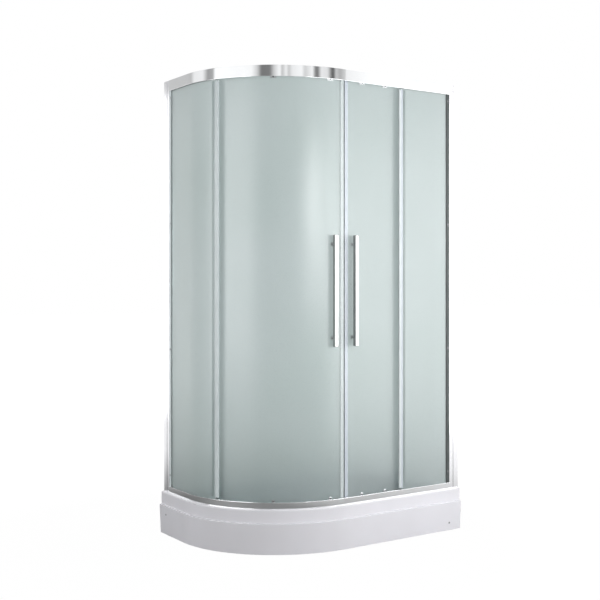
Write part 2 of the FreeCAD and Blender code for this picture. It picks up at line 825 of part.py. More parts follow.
# Profiles on the walls
def wall_frame(place, label):
    """The channel on one wall.  place turns (out from the wall, inset) into plan X and Y."""
    w0, w1 = d.wall_inset, d.wall_inset + d.wall_width
    wall = d.rail_wall
    zero = Size("0", 0.0)
    corners = [place(*pair) for pair in (
        (zero, w0), (d.wall_depth, w0), (d.wall_depth, w0 + wall), (zero + wall, w0 + wall),
        (zero + wall, w1 - wall), (d.wall_depth, w1 - wall), (d.wall_depth, w1), (zero, w1))]
    body = straight_extrusion(label + "_section", corners, rim, d.total_height)
    middle = (w0 + w1) / 2
    holes = []
    for height in spread(rim + d.wall_screw_low, d.total_height - d.wall_screw_high, 3):
        x, y = place(zero, middle)
        if label == "wall_profile_right":
            holes.append(rod_x(d.wall_hole, x - wall - past, x + past, y, height))
        else:
            holes.append(rod_y(d.wall_hole, x, y - wall - past, y + past, height))
    return cut(body, holes, label)


def jamb(place, label):
    """The box profile that slides in the channel and grips the fixed glass."""
    wall = d.rail_wall
    out = d.wall_inset + wall + d.channel_fit
    inner = d.wall_inset + d.wall_width - wall - d.channel_fit
    groove = d.jamb_end - d.jamb_groove
    lip = d.lip_inset
    corners = [place(*pair) for pair in (
        (d.jamb_start, out), (d.jamb_end, out), (d.jamb_end, out + wall), (groove, out + wall),
        (groove, lip), (d.clamp_end, lip), (d.clamp_end, lip + wall), (d.jamb_end, lip + wall),
        (d.jamb_end, inner), (d.jamb_start, inner))]
    void = [place(*pair) for pair in (
        (d.jamb_start + wall, out + wall), (groove - wall, out + wall),
        (groove - wall, lip + wall), (d.jamb_end - wall, lip + wall),
        (d.jamb_end - wall, inner - wall), (d.jamb_start + wall, inner - wall))]
    body = straight_extrusion(label + "_section", corners, rim, d.total_height, [void])
    tools = clamp_rods(place, label, d.screw_radius + d.screw_hole_fit, out, inner)
    for low, high in ((rim, rim + d.sill_height), (rail_low, d.total_height)):
        x0, y0 = place(d.jamb_end, lip)
        x1, y1 = place(d.clamp_end, lip + wall)
        if label.endswith("right"):
            tools.append(box(x1, x0, y0, y1, low, high))
        else:
            tools.append(box(x0, x1, y1, y0, low, high))
    return cut(body, tools, label)


def spread(low, high, count):
    """Heights from low to high at equal steps."""
    return [low + (high - low) * step / (count - 1) for step in range(count)]


def clamp_heights():
    return spread(rim + d.clamp_screw_low, d.total_height - d.clamp_screw_high, 4)


def clamp_rods(place, label, radius, low, high):
    """Rods across the clamp at each screw, from one inset to another."""
    rods = []
    for height in clamp_heights():
        x, y = place(d.clamp_screw, low)
        if label.endswith("right"):
            rods.append(rod_y(radius, x, y, y + (high - low), height))
        else:
            rods.append(rod_x(radius, x, x + (high - low), y, height))
    return rods


def jamb_gasket(place, label):
    """Rubber round the glass edge, with the dark band that shows beside the jamb."""
    out = d.wall_inset + d.rail_wall * 2 + d.channel_fit
    lip = d.lip_inset
    g0, g1 = d.fixed_inset, d.fixed_inset + d.glass_skin
    groove = d.jamb_end - d.jamb_groove
    edge = groove + d.gasket_bed
    corners = [place(*pair) for pair in (
        (groove, out), (d.clamp_end, out), (d.clamp_end, g0), (edge, g0), (edge, g1),
        (d.clamp_end, g1), (d.clamp_end, lip), (groove, lip))]
    body = straight_extrusion(label + "_section", corners, fixed_low, fixed_high)
    rods = clamp_rods(place, label, d.screw_radius + d.screw_hole_fit, out - past, lip + past)
    return cut(body, rods, label)


def clamp_screws():
    pieces = []
    start = d.wall_inset + d.rail_wall * 2 + d.channel_fit
    end = d.lip_inset + d.rail_wall + past
    for place, label in ((right_place, "right"), (back_place, "back")):
        shanks = clamp_rods(place, label, d.screw_radius, start, end)
        heads = clamp_rods(place, label, d.screw_head, start - d.screw_head_skin, start)
        pieces += [fuse([shank, head]) for shank, head in zip(shanks, heads)]
    return group(pieces, "clamp_screws")


def right_place(out, inset):
    return (right - out, front + inset)


def back_place(out, inset):
    return (left + inset, back - out)


# Rails
def top_rail():
    track0 = d.track_inset - d.track_width / 2
    track1 = d.track_inset + d.track_width / 2
    ledge = rail_low + d.lip_low
    inner = d.rail_inset + d.rail_depth
    wall = d.rail_wall
    body = bent_extrusion("top_rail_section", [
        (d.rail_inset, rail_low),
        (d.rail_inset, d.total_height),
        (inner, d.total_height),
        (inner, rail_low + d.rail_back_low),
        (inner - wall, rail_low + d.rail_back_low),
        (inner - wall, rail_ceiling),
        (d.lip_inset + wall, rail_ceiling),
        (d.lip_inset + wall, ledge + wall),
        (track0, ledge + wall),
        (track0, track_top),
        (track1, track_top),
        (track1, ledge),
        (d.lip_inset, ledge),
        (d.lip_inset, rail_ceiling),
        (glass_groove, rail_ceiling),
        (glass_groove, rail_low),
    ])
    return cut(body, bracket_rods(d.screw_radius + d.screw_hole_fit, upper=True), "top_rail")


def bottom_rail():
    track0 = d.track_inset - d.track_width / 2
    track1 = d.track_inset + d.track_width / 2
    base = rim + d.rail_wall
    inner = d.rail_inset + d.rail_depth
    wall = d.rail_wall
    lip_high = rim + d.sill_height - d.rail_wall
    body = bent_extrusion("bottom_rail_section", [
        (d.rail_inset, rim),
        (d.rail_inset, rim + d.sill_height),
        (glass_groove, rim + d.sill_height),
        (glass_groove, base),
        (d.lip_inset, base),
        (d.lip_inset, lip_high),
        (d.lip_inset + wall, lip_high),
        (d.lip_inset + wall, base),
        (track0, base),
        (track0, base + d.sill_track),
        (track1, base + d.sill_track),
        (track1, base),
        (inner - wall, base),
        (inner - wall, rim + d.sill_back),
        (inner, rim + d.sill_back),
        (inner, rim),
    ])
    return cut(body, bracket_rods(d.screw_radius + d.screw_hole_fit, upper=False), "bottom_rail")


block_outer = d.track_inset + d.track_width / 2 + d.bracket_play
block_inner = d.rail_inset + d.rail_depth - d.rail_wall
upper_block = rail_ceiling - d.bracket_height
lower_block = rim + d.rail_wall
lower_block_top = rim + d.sill_back
upper_screw = rail_ceiling - d.bracket_height / 2
lower_screw = rim + d.rail_wall + (d.sill_back - d.rail_wall) / 2


def bracket_rods(radius, upper, start=None, end=None):
    """Rods through the rail's inner wall into the end block, at both ends of a rail."""
    start = block_inner - d.screw_length + 2 * d.rail_wall if start is None else start
    end = block_inner + d.rail_wall + past if end is None else end
    height = upper_screw if upper else lower_screw
    along = d.bracket_length / 2
    front_rod = rod_y(radius, rail_end_right - along, front + start, front + end, height)
    side_rod = rod_x(radius, left + start, left + end, rail_end_back - along, height)
    return [front_rod, side_rod]


def rail_brackets():
    """Blocks in the rails' ends that butt on the jambs."""
    blocks = []
    for low, high, upper in ((upper_block, rail_ceiling, True),
                             (lower_block, lower_block_top, False)):
        at_right = box(rail_end_right - d.bracket_length, rail_end_right,
                       front + block_outer, front + block_inner, low, high)
        at_back = box(left + block_outer, left + block_inner,
                      rail_end_back - d.bracket_length, rail_end_back, low, high)
        bores = bracket_rods(d.screw_radius + d.screw_hole_fit, upper)
        blocks += [cut(at_right, [bores[0]]), cut(at_back, [bores[1]])]
    return group(blocks, "rail_brackets")


def rail_screws():
    screws = []
    wall_face = block_inner + d.rail_wall
    tip = wall_face - d.screw_length + d.rail_wall
    for upper in (True, False):
        shanks = bracket_rods(d.screw_radius, upper, tip, wall_face)
        heads = bracket_rods(d.screw_head, upper, wall_face, wall_face + d.screw_head_skin)
        screws += [fuse([shank, head]) for shank, head in zip(shanks, heads)]
    return group(screws, "rail_screws")


def door_stops():
    """Rubber stops on the upper track, just past each door's open wheel."""
    low, high = track_top, track_top + d.wheel_radius
    inset = d.lip_inset + d.rail_wall + d.bracket_play
    skin = plate_inset - d.stop_play - inset
    reach = d.wheel_radius + d.flange_rise + d.stop_gap
    start = meeting + d.right_roller_back + d.right_travel + reach
    right_stop = box(start, start + d.stop_length, front + inset, front + inset + skin, low, high)
    per_degree = 180 / (math.pi * (d.corner_radius - d.track_inset))
    from_angle = d.left_roller_back + d.left_travel + reach * per_degree
    to_angle = from_angle + d.stop_length * per_degree
    left_stop = corner_seat(shell_sector(inset, skin, low, high, from_angle, to_angle))
    return group([right_stop, left_stop], "door_stops")


# Fixed glass and its seals
glass_back = d.jamb_end - d.jamb_groove + d.gasket_bed


def fixed_glass_right():
    pane = box(left + d.fixed_edge, right - glass_back, front + d.fixed_inset,
               front + d.fixed_inset + d.glass_skin, fixed_low, fixed_high)
    rods = clamp_rods(right_place, "right", d.screw_radius + d.bolt_fit, d.fixed_inset - past,
                      d.fixed_inset + d.glass_skin + past)
    return cut(pane, rods, "fixed_glass_right")


def fixed_glass_left():
    curve = shell_sector(d.fixed_inset, d.glass_skin, fixed_low, fixed_high, d.fixed_angle,
                         Size("90", 90.0))
    corner_seat(curve)
    flat = box(left + d.fixed_inset, left + d.fixed_inset + d.glass_skin, arc_y,
               back - glass_back, fixed_low, fixed_high)
    rods = clamp_rods(back_place, "back", d.screw_radius + d.bolt_fit, d.fixed_inset - past,
                      d.fixed_inset + d.glass_skin + past)
    return cut(fuse([curve, flat]), rods, "fixed_glass_left")


def degrees_at(length, inset):
    """The angle that a length spans round the corner at an inset."""
    return length * 180 / (math.pi * (d.corner_radius - inset))


def fixed_seal_right():
    g0, g1 = d.fixed_inset, d.fixed_inset + d.glass_skin
    edge = left + d.fixed_edge
    y0, y1 = front + g0, front + g1
    tip, reach = edge - d.seal_tip, edge + d.seal_reach
    pieces = [
        box(tip, reach, y0 - d.seal_leg, y0, seal_bottom, seal_ceiling),
        box(tip, reach, y1, y1 + d.seal_leg, seal_bottom, seal_ceiling),
        box(tip, edge, y0, y1, seal_bottom, seal_ceiling),
    ]
    return fuse(pieces, "fixed_seal_right")


def fixed_seal_left():
    g0, g1 = d.fixed_inset, d.fixed_inset + d.glass_skin
    tip = d.fixed_angle - degrees_at(d.seal_tip, g0)
    reach = d.fixed_angle + degrees_at(d.seal_reach, g0)
    pieces = [
        shell_sector(g0 - d.seal_leg, d.seal_leg, seal_bottom, seal_ceiling, tip, reach),
        shell_sector(g1, d.seal_leg, seal_bottom, seal_ceiling, tip, reach),
        shell_sector(g0, d.glass_skin, seal_bottom, seal_ceiling, tip, d.fixed_angle),
    ]
    return corner_seat(fuse(pieces, "fixed_seal_left"))


def glazing_strip(label, low, high):
    """Rubber strips in the rail's groove, outside and inside both fixed panes."""
    g0, g1 = d.fixed_inset, d.fixed_inset + d.glass_skin
    pieces = []
    for start, end in ((glass_groove, g0), (g1, d.lip_inset)):
        x0, x1 = left + d.fixed_edge, right - d.clamp_end
        pieces.append(box(x0, x1, front + start, front + end, low, high))
        curve = shell_sector(start, end - start, low, high, d.fixed_angle, Size("90", 90.0))
        corner_seat(curve)
        flat = box(left + start, left + end, arc_y, back - d.clamp_end, low, high)
        pieces.append(fuse([curve, flat]))
    return group(pieces, label)


# Doors
def roller_stations(side):
    if side == "right":
        return {"front": (0.0, d.meeting_offset + d.right_roller_front),
                "rear": (0.0, d.meeting_offset + d.right_roller_back)}
    return {"front": (d.left_roller_front, 0.0), "rear": (d.left_roller_back, 0.0)}


def handle_station(side):
    if side == "right":
        return (0.0, d.meeting_offset + d.handle_offset)
    return (d.handle_angle, 0.0)


def post_heights():
    return [d.handle_middle - d.post_spacing / 2, d.handle_middle + d.post_spacing / 2]


def at_station(obj, station):
    return corner_seat(obj, turn=station[0], shift=station[1])


def cross_rod(radius, inset0, inset1, height):
    """A rod square to the door, in corner coordinates."""
    zero = Size("0", 0.0)
    return rod_y(radius, zero, face_y(inset0), face_y(inset1), height)


def door_holes(side):
    """Drillings through one door's glass for its bolts and handle posts."""
    start, end = d.door_inset - past, door_inner + past
    holes = []
    for station in roller_stations(side).values():
        for height in (hanger_bolt, guide_bolt):
            rod = cross_rod(d.bolt_radius + d.bolt_fit, start, end, height)
            holes.append(at_station(rod_group(rod), station))
    for height in post_heights():
        rod = cross_rod(d.bolt_radius + d.bolt_fit, start, end, height)
        holes.append(at_station(rod_group(rod), handle_station(side)))
    return holes


def rod_group(rod):
    """Wrap a rod, so that a station can turn it as one."""
    return group([rod], "Station")


def door_glass(side):
    if side == "right":
        start = meeting + d.magnet_depth
        pane = box(start, arc_x + door_back, front + d.door_inset, front + door_inner,
                   door_low, door_high)
    else:
        start = degrees_at(d.magnet_depth - d.meeting_offset, d.door_inset)
        pane = corner_seat(shell_sector(d.door_inset, d.glass_skin, door_low, door_high, start,
                                        door_angle))
    return cut(pane, door_holes(side), side + "_door_glass")


def door_wall(side, inset, skin, low, high, start, end):
    """A wall piece of a door from start to end, lengths from the meeting line."""
    if side == "right":
        return box(meeting + start, meeting + end, front + inset, front + inset + skin, low, high)
    from_angle = degrees_at(start - d.meeting_offset, d.door_inset)
    to_angle = degrees_at(end - d.meeting_offset, d.door_inset)
    return corner_seat(shell_sector(inset, skin, low, high, from_angle, to_angle))


def magnet_seal(side):
    legs_start = d.seal_gap
    legs_end = d.magnet_depth + d.magnet_leg
    outer = d.door_inset - d.seal_leg
    pieces = [
        door_wall(side, outer, d.seal_leg, door_low, door_high, legs_start, legs_end),
        door_wall(side, door_inner, d.seal_leg, door_low, door_high, legs_start, legs_end),
        door_wall(side, d.door_inset, d.glass_skin, door_low, door_high, legs_start,
                  d.magnet_depth),
    ]
    return fuse(pieces, side + "_magnet_seal")


def rear_seal(side):
    """A clip on the door's trailing edge with a fin towards the fixed glass."""
    if side == "right":
        edge = door_back - d.meeting_offset
    else:
        edge = door_angle * math.pi * (d.corner_radius - d.door_inset) / 180 + d.meeting_offset
    outer = d.door_inset - d.seal_leg
    fin = d.door_inset - d.fin_inset
    reach = edge - d.rear_leg
    pieces = [
        door_wall(side, outer, d.seal_leg, seal_bottom, seal_ceiling, reach, edge + d.fin_skin),
        door_wall(side, door_inner, d.seal_leg, seal_bottom, seal_ceiling, reach,
                  edge + d.fin_skin),
        door_wall(side, d.fin_inset, fin + d.glass_skin, seal_bottom, seal_ceiling, edge,
                  edge + d.fin_skin),
    ]
    return fuse(pieces, side + "_rear_seal")


def handle_bar(side):
    """A square-edged bar that stands off the glass."""
    label = side + "_handle"
    y0 = face_y(d.door_inset - d.handle_gap - d.handle_skin)
    y1 = face_y(d.door_inset - d.handle_gap)
    half = d.handle_width / 2
    body = new_body(label)
    sketch = attach(body, "Section", "XY_Plane", d.handle_middle - d.handle_length / 2)
    draw_outline(sketch, [(-half, y0), (half, y0), (half, y1), (-half, y1)])
    bar = pad(body, sketch, d.handle_length)
    doc.recompute()
    edges = []
    for number, edge in enumerate(bar.Shape.Edges, start=1):
        if edge.BoundBox.ZLength > 1 or edge.BoundBox.YMax < plain(y0) + 0.01:
            edges.append("Edge%d" % number)
    rounding = body.newObject("PartDesign::Fillet", "Edges")
    rounding.Base = (bar, edges)
    bind(rounding, "Radius", d.handle_edge)
    return at_station(body, handle_station(side))


def handle_posts(side):
    """Posts between bar and glass, each with a stud through the glass."""
    posts = []
    gap_start = d.door_inset - d.handle_gap
    for height in post_heights():
        post = cross_rod(d.post_radius, gap_start, d.door_inset, height)
        stud = cross_rod(d.bolt_radius, d.door_inset, door_inner + d.knob_skin / 2, height)
        posts.append(at_station(fuse([post, stud]), handle_station(side)))
    return group(posts, side + "_handle_posts")


def handle_nuts(side):
    """Round cap nuts on the shower side of the glass."""
    nuts = []
    start = door_inner + d.screw_hole_fit
    for height in post_heights():
        knob = cross_rod(d.knob_radius, start, start + d.knob_skin, height)
        bore = cross_rod(d.bolt_radius + d.screw_hole_fit, start - past,
                         door_inner + d.knob_skin / 2 + d.screw_hole_fit, height)
        nuts.append(at_station(cut(knob, [bore]), handle_station(side)))
    return group(nuts, side + "_handle_nuts")


def hangers(side):
    """Flat plates bolted to the head of the door; each carries a wheel."""
    plates = []
    half = d.hanger_width / 2
    for station in roller_stations(side).values():
        plate = box(-half, half, face_y(plate_inset), face_y(d.door_inset),
                    rail_low - d.hanger_low, wheel_centre + d.hanger_rise)
        bolt = cross_rod(d.bolt_radius + d.screw_hole_fit, plate_inset - past,
                         d.door_inset + past, hanger_bolt)
        axle = cross_rod(d.axle_radius + d.screw_hole_fit, plate_inset - past,
                         d.door_inset + past, wheel_centre)
        plates.append(at_station(cut(plate, [bolt, axle]), station))
    return group(plates, side + "_hangers")


def guides(side):
    """Small plates at the foot of the door; each carries a guide wheel."""
    plates = []
    half = d.guide_half
    for station in roller_stations(side).values():
        web = box(-half, half, face_y(plate_inset), face_y(d.door_inset), guide_centre,
                  guide_bolt)
        head = cross_rod(half, plate_inset, d.door_inset, guide_bolt)
        foot = cross_rod(half, plate_inset, d.door_inset, guide_centre)
        bolt = cross_rod(d.bolt_radius + d.screw_hole_fit, plate_inset - past,
                         d.door_inset + past, guide_bolt)
        axle = cross_rod(d.axle_radius + d.screw_hole_fit, plate_inset - past,
                         d.door_inset + past, guide_centre)
        plates.append(at_station(cut(fuse([web, head, foot]), [bolt, axle]), station))
    return group(plates, side + "_guides")


def roller_bolts(side):
    """Bolts and flat nuts that clamp the hangers and guides to the glass, heads outside."""
    bolts = []
    nut_face = door_inner + d.screw_hole_fit
    for station in roller_stations(side).values():
        for height in (hanger_bolt, guide_bolt):
            head = cross_rod(d.bolt_head, plate_inset - d.bolt_head_skin, plate_inset, height)
            shank = cross_rod(d.bolt_radius, plate_inset, door_inner + d.bolt_nut_skin, height)
            bolts.append(at_station(fuse([head, shank]), station))
            nut = cross_rod(d.bolt_head, nut_face, nut_face + d.bolt_nut_skin, height)
            bore = cross_rod(d.bolt_radius + d.screw_hole_fit, nut_face - past,
                             nut_face + d.bolt_nut_skin + past, height)
            bolts.append(at_station(cut(nut, [bore]), station))
    return group(bolts, side + "_roller_bolts")


def wheel_span():
    return (d.track_inset - d.wheel_width / 2, d.track_inset + d.wheel_width / 2)


def axles(side):
    """Riveted axles: a pin through the plate and the wheel, with a head outside."""
    pins = []
    start, _ = wheel_span()
    head_start = start - d.wheel_fit - d.plate_skin / 2
    for station in roller_stations(side).values():
        for height in (wheel_centre, guide_centre):
            pin = cross_rod(d.axle_radius, start - d.wheel_fit, d.door_inset, height)
            head = cross_rod(d.axle_head, head_start, start - d.wheel_fit, height)
            pins.append(at_station(fuse([pin, head]), station))
    return group(pins, side + "_axles")


def wheel(side, end, upper):
    """A grooved wheel, turned from one profile."""
    radius = d.wheel_radius if upper else d.guide_radius
    height = wheel_centre if upper else guide_centre
    level = "top" if upper else "bottom"
    body = new_body("%s_%s_wheel_%s" % (side, level, end))
    sketch = attach(body, "Profile", "YZ_Plane")
    rim_radius = radius + d.flange_rise
    y0, y1 = face_y(wheel_span()[0]), face_y(wheel_span()[1])
    g0 = face_y(d.track_inset - d.wheel_groove / 2)
    g1 = face_y(d.track_inset + d.wheel_groove / 2)
    hub = face_y(plate_inset - d.wheel_fit)
    bore = d.axle_radius + d.axle_fit
    draw_outline(sketch, [
        (y0, bore),
        (y0, rim_radius),
        (g0, rim_radius),
        (g0, radius),
        (g1, radius),
        (g1, rim_radius),
        (y1, rim_radius),
        (y1, d.axle_head + d.axle_fit),
        (hub, d.axle_head + d.axle_fit),
        (hub, bore),
    ])
    doc.recompute()
    turned = body.newObject("PartDesign::Revolution", "Turned")
    turned.Profile = sketch
    turned.ReferenceAxis = (sketch, ["H_Axis"])
    turned.Angle = 360
    turn, shift = roller_stations(side)[end]
    seat(body, arc_x + shift, arc_y, height, turn=-turn if plain(turn) else None)
    return body


def door(side):
    nodes = [door_glass(side), magnet_seal(side), rear_seal(side), handle_bar(side),
             handle_posts(side), handle_nuts(side), hangers(side), guides(side),
             roller_bolts(side), axles(side)]
    for end in ("front", "rear"):
        for upper in (True, False):
            nodes.append(wheel(side, end, upper))
    return nodes


# Build and write
nodes = [
    tray_shell(), front_apron(), apron_screws(), reinforcing_board(), support_frame(),
    foot_stems(), foot_pads(), foot_locknuts(), waste_trap(), waste_seal(), waste_flange(),
    outlet_pipe(), drain_cover(),
    wall_frame(right_place, "wall_profile_right"), wall_frame(back_place, "wall_profile_back"),
    jamb(right_place, "jamb_right"), jamb(back_place, "jamb_back"),
    jamb_gasket(right_place, "jamb_gasket_right"), jamb_gasket(back_place, "jamb_gasket_back"),
    clamp_screws(), top_rail(), bottom_rail(), rail_brackets(), rail_screws(), door_stops(),
    fixed_glass_right(), fixed_glass_left(), fixed_seal_right(), fixed_seal_left(),
    glazing_strip("top_glazing", rail_low, fixed_high),
    glazing_strip("bottom_glazing", fixed_low, rim + d.sill_height - d.rail_wall),
]
nodes += door("right") + door("left")
doc.recompute()

for obj in doc.Objects:
    if "Invalid" in obj.State or "Error" in obj.State:
        raise RuntimeError("%s (%s) failed: %s" % (obj.Name, obj.Label, obj.State))
for node in nodes:
    if node.Shape.isNull() or not node.Shape.isValid():
        raise RuntimeError(node.Label + " has no valid shape")

os.makedirs("parts", exist_ok=True)
for node in nodes:
    node.Shape.exportStep("parts/" + node.Label + ".step")
    print("%-26s solids %d  volume %.0f" % (node.Label, len(node.Shape.Solids), node.Shape.Volume))
print("nodes", len(nodes))
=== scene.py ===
import json
import math

import bmesh
import bpy
from mathutils import Matrix, Vector


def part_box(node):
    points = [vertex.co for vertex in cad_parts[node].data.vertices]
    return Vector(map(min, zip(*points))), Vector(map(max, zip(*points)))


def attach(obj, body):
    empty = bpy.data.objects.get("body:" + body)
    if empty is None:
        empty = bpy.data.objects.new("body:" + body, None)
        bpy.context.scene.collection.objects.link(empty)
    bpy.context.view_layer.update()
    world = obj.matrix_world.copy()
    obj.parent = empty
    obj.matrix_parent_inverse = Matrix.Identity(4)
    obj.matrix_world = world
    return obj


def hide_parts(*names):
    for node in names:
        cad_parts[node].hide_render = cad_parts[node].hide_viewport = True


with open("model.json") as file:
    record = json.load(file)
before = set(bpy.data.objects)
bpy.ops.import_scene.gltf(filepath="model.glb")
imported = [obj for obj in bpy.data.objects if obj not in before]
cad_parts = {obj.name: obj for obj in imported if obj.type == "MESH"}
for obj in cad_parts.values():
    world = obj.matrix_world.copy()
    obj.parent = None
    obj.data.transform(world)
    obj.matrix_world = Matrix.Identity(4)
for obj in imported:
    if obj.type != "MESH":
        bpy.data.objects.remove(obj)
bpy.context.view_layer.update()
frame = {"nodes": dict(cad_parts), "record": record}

nodes = frame["nodes"]
bpy.ops.object.select_all(action="DESELECT")
print("frame loaded with", len(nodes), "nodes")

# metres: the lines that the nodes follow too
plan = {
    "arcX": -0.05,
    "arcY": 0.15,
    "radius": 0.55,
    "doorInset": 0.056,
    "glassSkin": 0.005,
    "fixedInset": 0.031,
    "meeting": 0.008,
}
# how finely the shared tools work
fineness = {
    "merge": 0.00001,
    "flat": math.radians(0.4),
    "plane": 0.00002,
    "near": 0.0001,
    "facing": 0.9,
    "stripStep": 0.006,
    "stepsPerDegree": 1.4,
    "rodSides": 40,
}
bodyOf = {member: body for body, members in frame["record"]["behaviour"]["bodies"].items()
          for member in members}


# small tools for modelling by operators

def clearSelection():
    if bpy.context.object is not None and bpy.context.object.mode != "OBJECT":
        bpy.ops.object.mode_set(mode="OBJECT")
    bpy.ops.object.select_all(action="DESELECT")


def pick(piece):
    clearSelection()
    piece.select_set(True)
    bpy.context.view_layer.objects.active = piece


def startPiece(name):
    piece = bpy.context.object
    piece.name = name
    piece.data.name = name
    return piece


def settle(piece):  # the place goes into the mesh, the object stays at the origin
    pick(piece)
    bpy.ops.object.transform_apply(location=True, rotation=True, scale=True)
    return piece


def selectFaces(piece, test):  # leaves edit mode on, with the matching faces selected
    pick(piece)
    bpy.ops.object.mode_set(mode="EDIT")
    bpy.ops.mesh.select_mode(type="FACE")
    bpy.ops.mesh.select_all(action="DESELECT")
    shape = bmesh.from_edit_mesh(piece.data)
    for face in shape.faces:
        face.select_set(test(face))
    bmesh.update_edit_mesh(piece.data)


def objectMode():
    bpy.ops.object.mode_set(mode="OBJECT")


def applyModifier(piece, kind, **values):
    pick(piece)
    modifier = piece.modifiers.new(kind.title(), kind)
    for key, value in values.items():
        setattr(modifier, key, value)
    bpy.ops.object.modifier_apply(modifier=modifier.name)


def softenEdges(piece, width, segments=3, angle=30):
    applyModifier(piece, "BEVEL", width=width, segments=segments, limit_method="ANGLE",
                  angle_limit=math.radians(angle), use_clamp_overlap=False)
    smoothPiece(piece)


def smoothPiece(piece, angle=35):  # large faces stay flat, and only their edges turn
    pick(piece)
    bpy.ops.object.shade_smooth_by_angle(angle=math.radians(angle))
    applyModifier(piece, "WEIGHTED_NORMAL", mode="FACE_AREA", weight=100, keep_sharp=True)


def joinPieces(name, parts):
    clearSelection()
    for part in parts:
        part.select_set(True)
    bpy.context.view_layer.objects.active = parts[0]
    if len(parts) > 1:
        bpy.ops.object.join()
    return startPiece(name)


def copyPiece(piece, name):
    twin = piece.copy()
    twin.data = piece.data.copy()
    twin.name = name
    twin.data.name = name
    bpy.context.scene.collection.objects.link(twin)
    return twin


def toStation(piece, station):  # from corner coordinates to a place on a door
    turn, shift = station
    spin = Matrix.Rotation(-math.radians(turn), 4, "Z")
    move = Matrix.Translation((plan["arcX"] + shift, plan["arcY"], 0))
    piece.data.transform(move @ spin)
    return piece


def faceY(inset):
    return inset - plan["radius"]


def dress(piece, finish):
    piece.data.materials.clear()
    piece.data.materials.append(finish)
    return piece


def standFor(piece, node, finish=None):  # the piece is shown in place of a node
    if finish is not None:
        dress(piece, finishes[finish])
    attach(piece, bodyOf[node])
    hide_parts(node)
    return piece


def pieceName(node):
    words = node.split("_")
    return words[0] + "".join(word.title() for word in words[1:])


def refine(node, finish, width=0.0004, segments=2):  # a merged copy with its edges broken
    piece = copyPiece(nodes[node], pieceName(node))
    piece.parent = None
    piece.matrix_world = Matrix.Identity(4)
    pick(piece)
    if piece.data.has_custom_normals:
        bpy.ops.mesh.customdata_custom_splitnormals_clear()
    bpy.ops.object.mode_set(mode="EDIT")
    bpy.ops.mesh.select_all(action="SELECT")
    bpy.ops.mesh.remove_doubles(threshold=fineness["merge"])
    bpy.ops.mesh.normals_make_consistent(inside=False)
    bpy.ops.mesh.dissolve_limited(angle_limit=fineness["flat"])
    objectMode()
    softenEdges(piece, width, segments, 40)
    return standFor(piece, node, finish)


# starts for modelled pieces, in corner coordinates unless said otherwise

def boxPiece(name, xs, insets, zs):
    clearSelection()
    spans = (xs, tuple(faceY(inset) for inset in insets), zs)
    centre = [(low + high) / 2 for low, high in spans]
    bpy.ops.mesh.primitive_cube_add(size=1, location=centre)
    piece = startPiece(name)
    piece.scale = [high - low for low, high in spans]
    return settle(piece)


def rodPiece(name, radius, insets, z, sides=fineness["rodSides"]):
    clearSelection()
    low, high = (faceY(inset) for inset in insets)
    bpy.ops.mesh.primitive_cylinder_add(vertices=sides, radius=radius, depth=high - low,
                                        location=(0, (low + high) / 2, z),
                                        rotation=(math.radians(90), 0, 0))
    return settle(startPiece(name))


def sectionPiece(name, insets, zs):  # a flat rectangle across the wall, at the corner's start
    clearSelection()
    low, high = (faceY(inset) for inset in insets)
    bpy.ops.mesh.primitive_plane_add(size=1, location=(0, (low + high) / 2, sum(zs) / 2),
                                     rotation=(0, math.radians(90), 0))
    piece = startPiece(name)
    piece.scale = (zs[1] - zs[0], high - low, 1)
    return settle(piece)


def growSection(piece, place, step):  # the edge nearest to a place in the section is extruded
    pick(piece)
    bpy.ops.object.mode_set(mode="EDIT")
    bpy.ops.mesh.select_mode(type="EDGE")
    bpy.ops.mesh.select_all(action="DESELECT")
    shape = bmesh.from_edit_mesh(piece.data)
    spot = Vector((0, faceY(place[0]), place[1]))
    nearest = min(shape.edges, key=lambda edge: ((edge.verts[0].co + edge.verts[1].co) / 2
                                                 - spot).length)
    nearest.select_set(True)
    bmesh.update_edit_mesh(piece.data)
    bpy.ops.mesh.extrude_edges_move(TRANSFORM_OT_translate={"value": (0, *step)})
    objectMode()


def bendSection(piece, degrees, steps):  # the section is spun round the corner's centre
    pick(piece)
    bpy.ops.object.mode_set(mode="EDIT")
    bpy.ops.mesh.select_mode(type="FACE")
    bpy.ops.mesh.select_all(action="SELECT")
    bpy.ops.mesh.spin(steps=steps, angle=math.radians(degrees), center=(0, 0, 0),
                      axis=(0, 0, 1))
    bpy.ops.mesh.select_all(action="SELECT")
    bpy.ops.mesh.remove_doubles(threshold=fineness["merge"])
    bpy.ops.mesh.normals_make_consistent(inside=False)
    objectMode()


def extrudeEnd(piece, axis, place, step):  # the end faces that lie in one plane move on
    selectFaces(piece, lambda face: all(abs(vert.co[axis] - place) < fineness["plane"]
                                        for vert in face.verts))
    bpy.ops.mesh.extrude_region_move(TRANSFORM_OT_translate={"value": step})
    objectMode()


def stripPiece(name, side, insets, zs, span):  # span: lengths from the meeting line
    start, end = span
    if side == "right":
        return toStation(boxPiece(name, (start, end), insets, zs), (0, plan["meeting"]))
    perMetre = 180 / (math.pi * (plan["radius"] - plan["doorInset"]))
    turn = (start - plan["meeting"]) * perMetre
    piece = sectionPiece(name, insets, zs)
    steps = max(2, int((end - start) / fineness["stripStep"]))
    bendSection(piece, (end - start) * perMetre, steps)
    return toStation(piece, (turn, 0))


def cornerStrip(name, insets, zs, angles):  # a curved strip between two angles
    piece = sectionPiece(name, insets, zs)
    swept = angles[1] - angles[0]
    bendSection(piece, swept, max(2, int(swept * fineness["stepsPerDegree"])))
    return toStation(piece, (angles[0], 0))


# nodes for the finishes

def startFinish(name):
    finish = bpy.data.materials.new(name)
    finish.use_nodes = True
    tree = finish.node_tree
    shader = tree.nodes["Principled BSDF"]
    where = tree.nodes.new("ShaderNodeTexCoord")
    return finish, tree, shader, where.outputs["Object"]


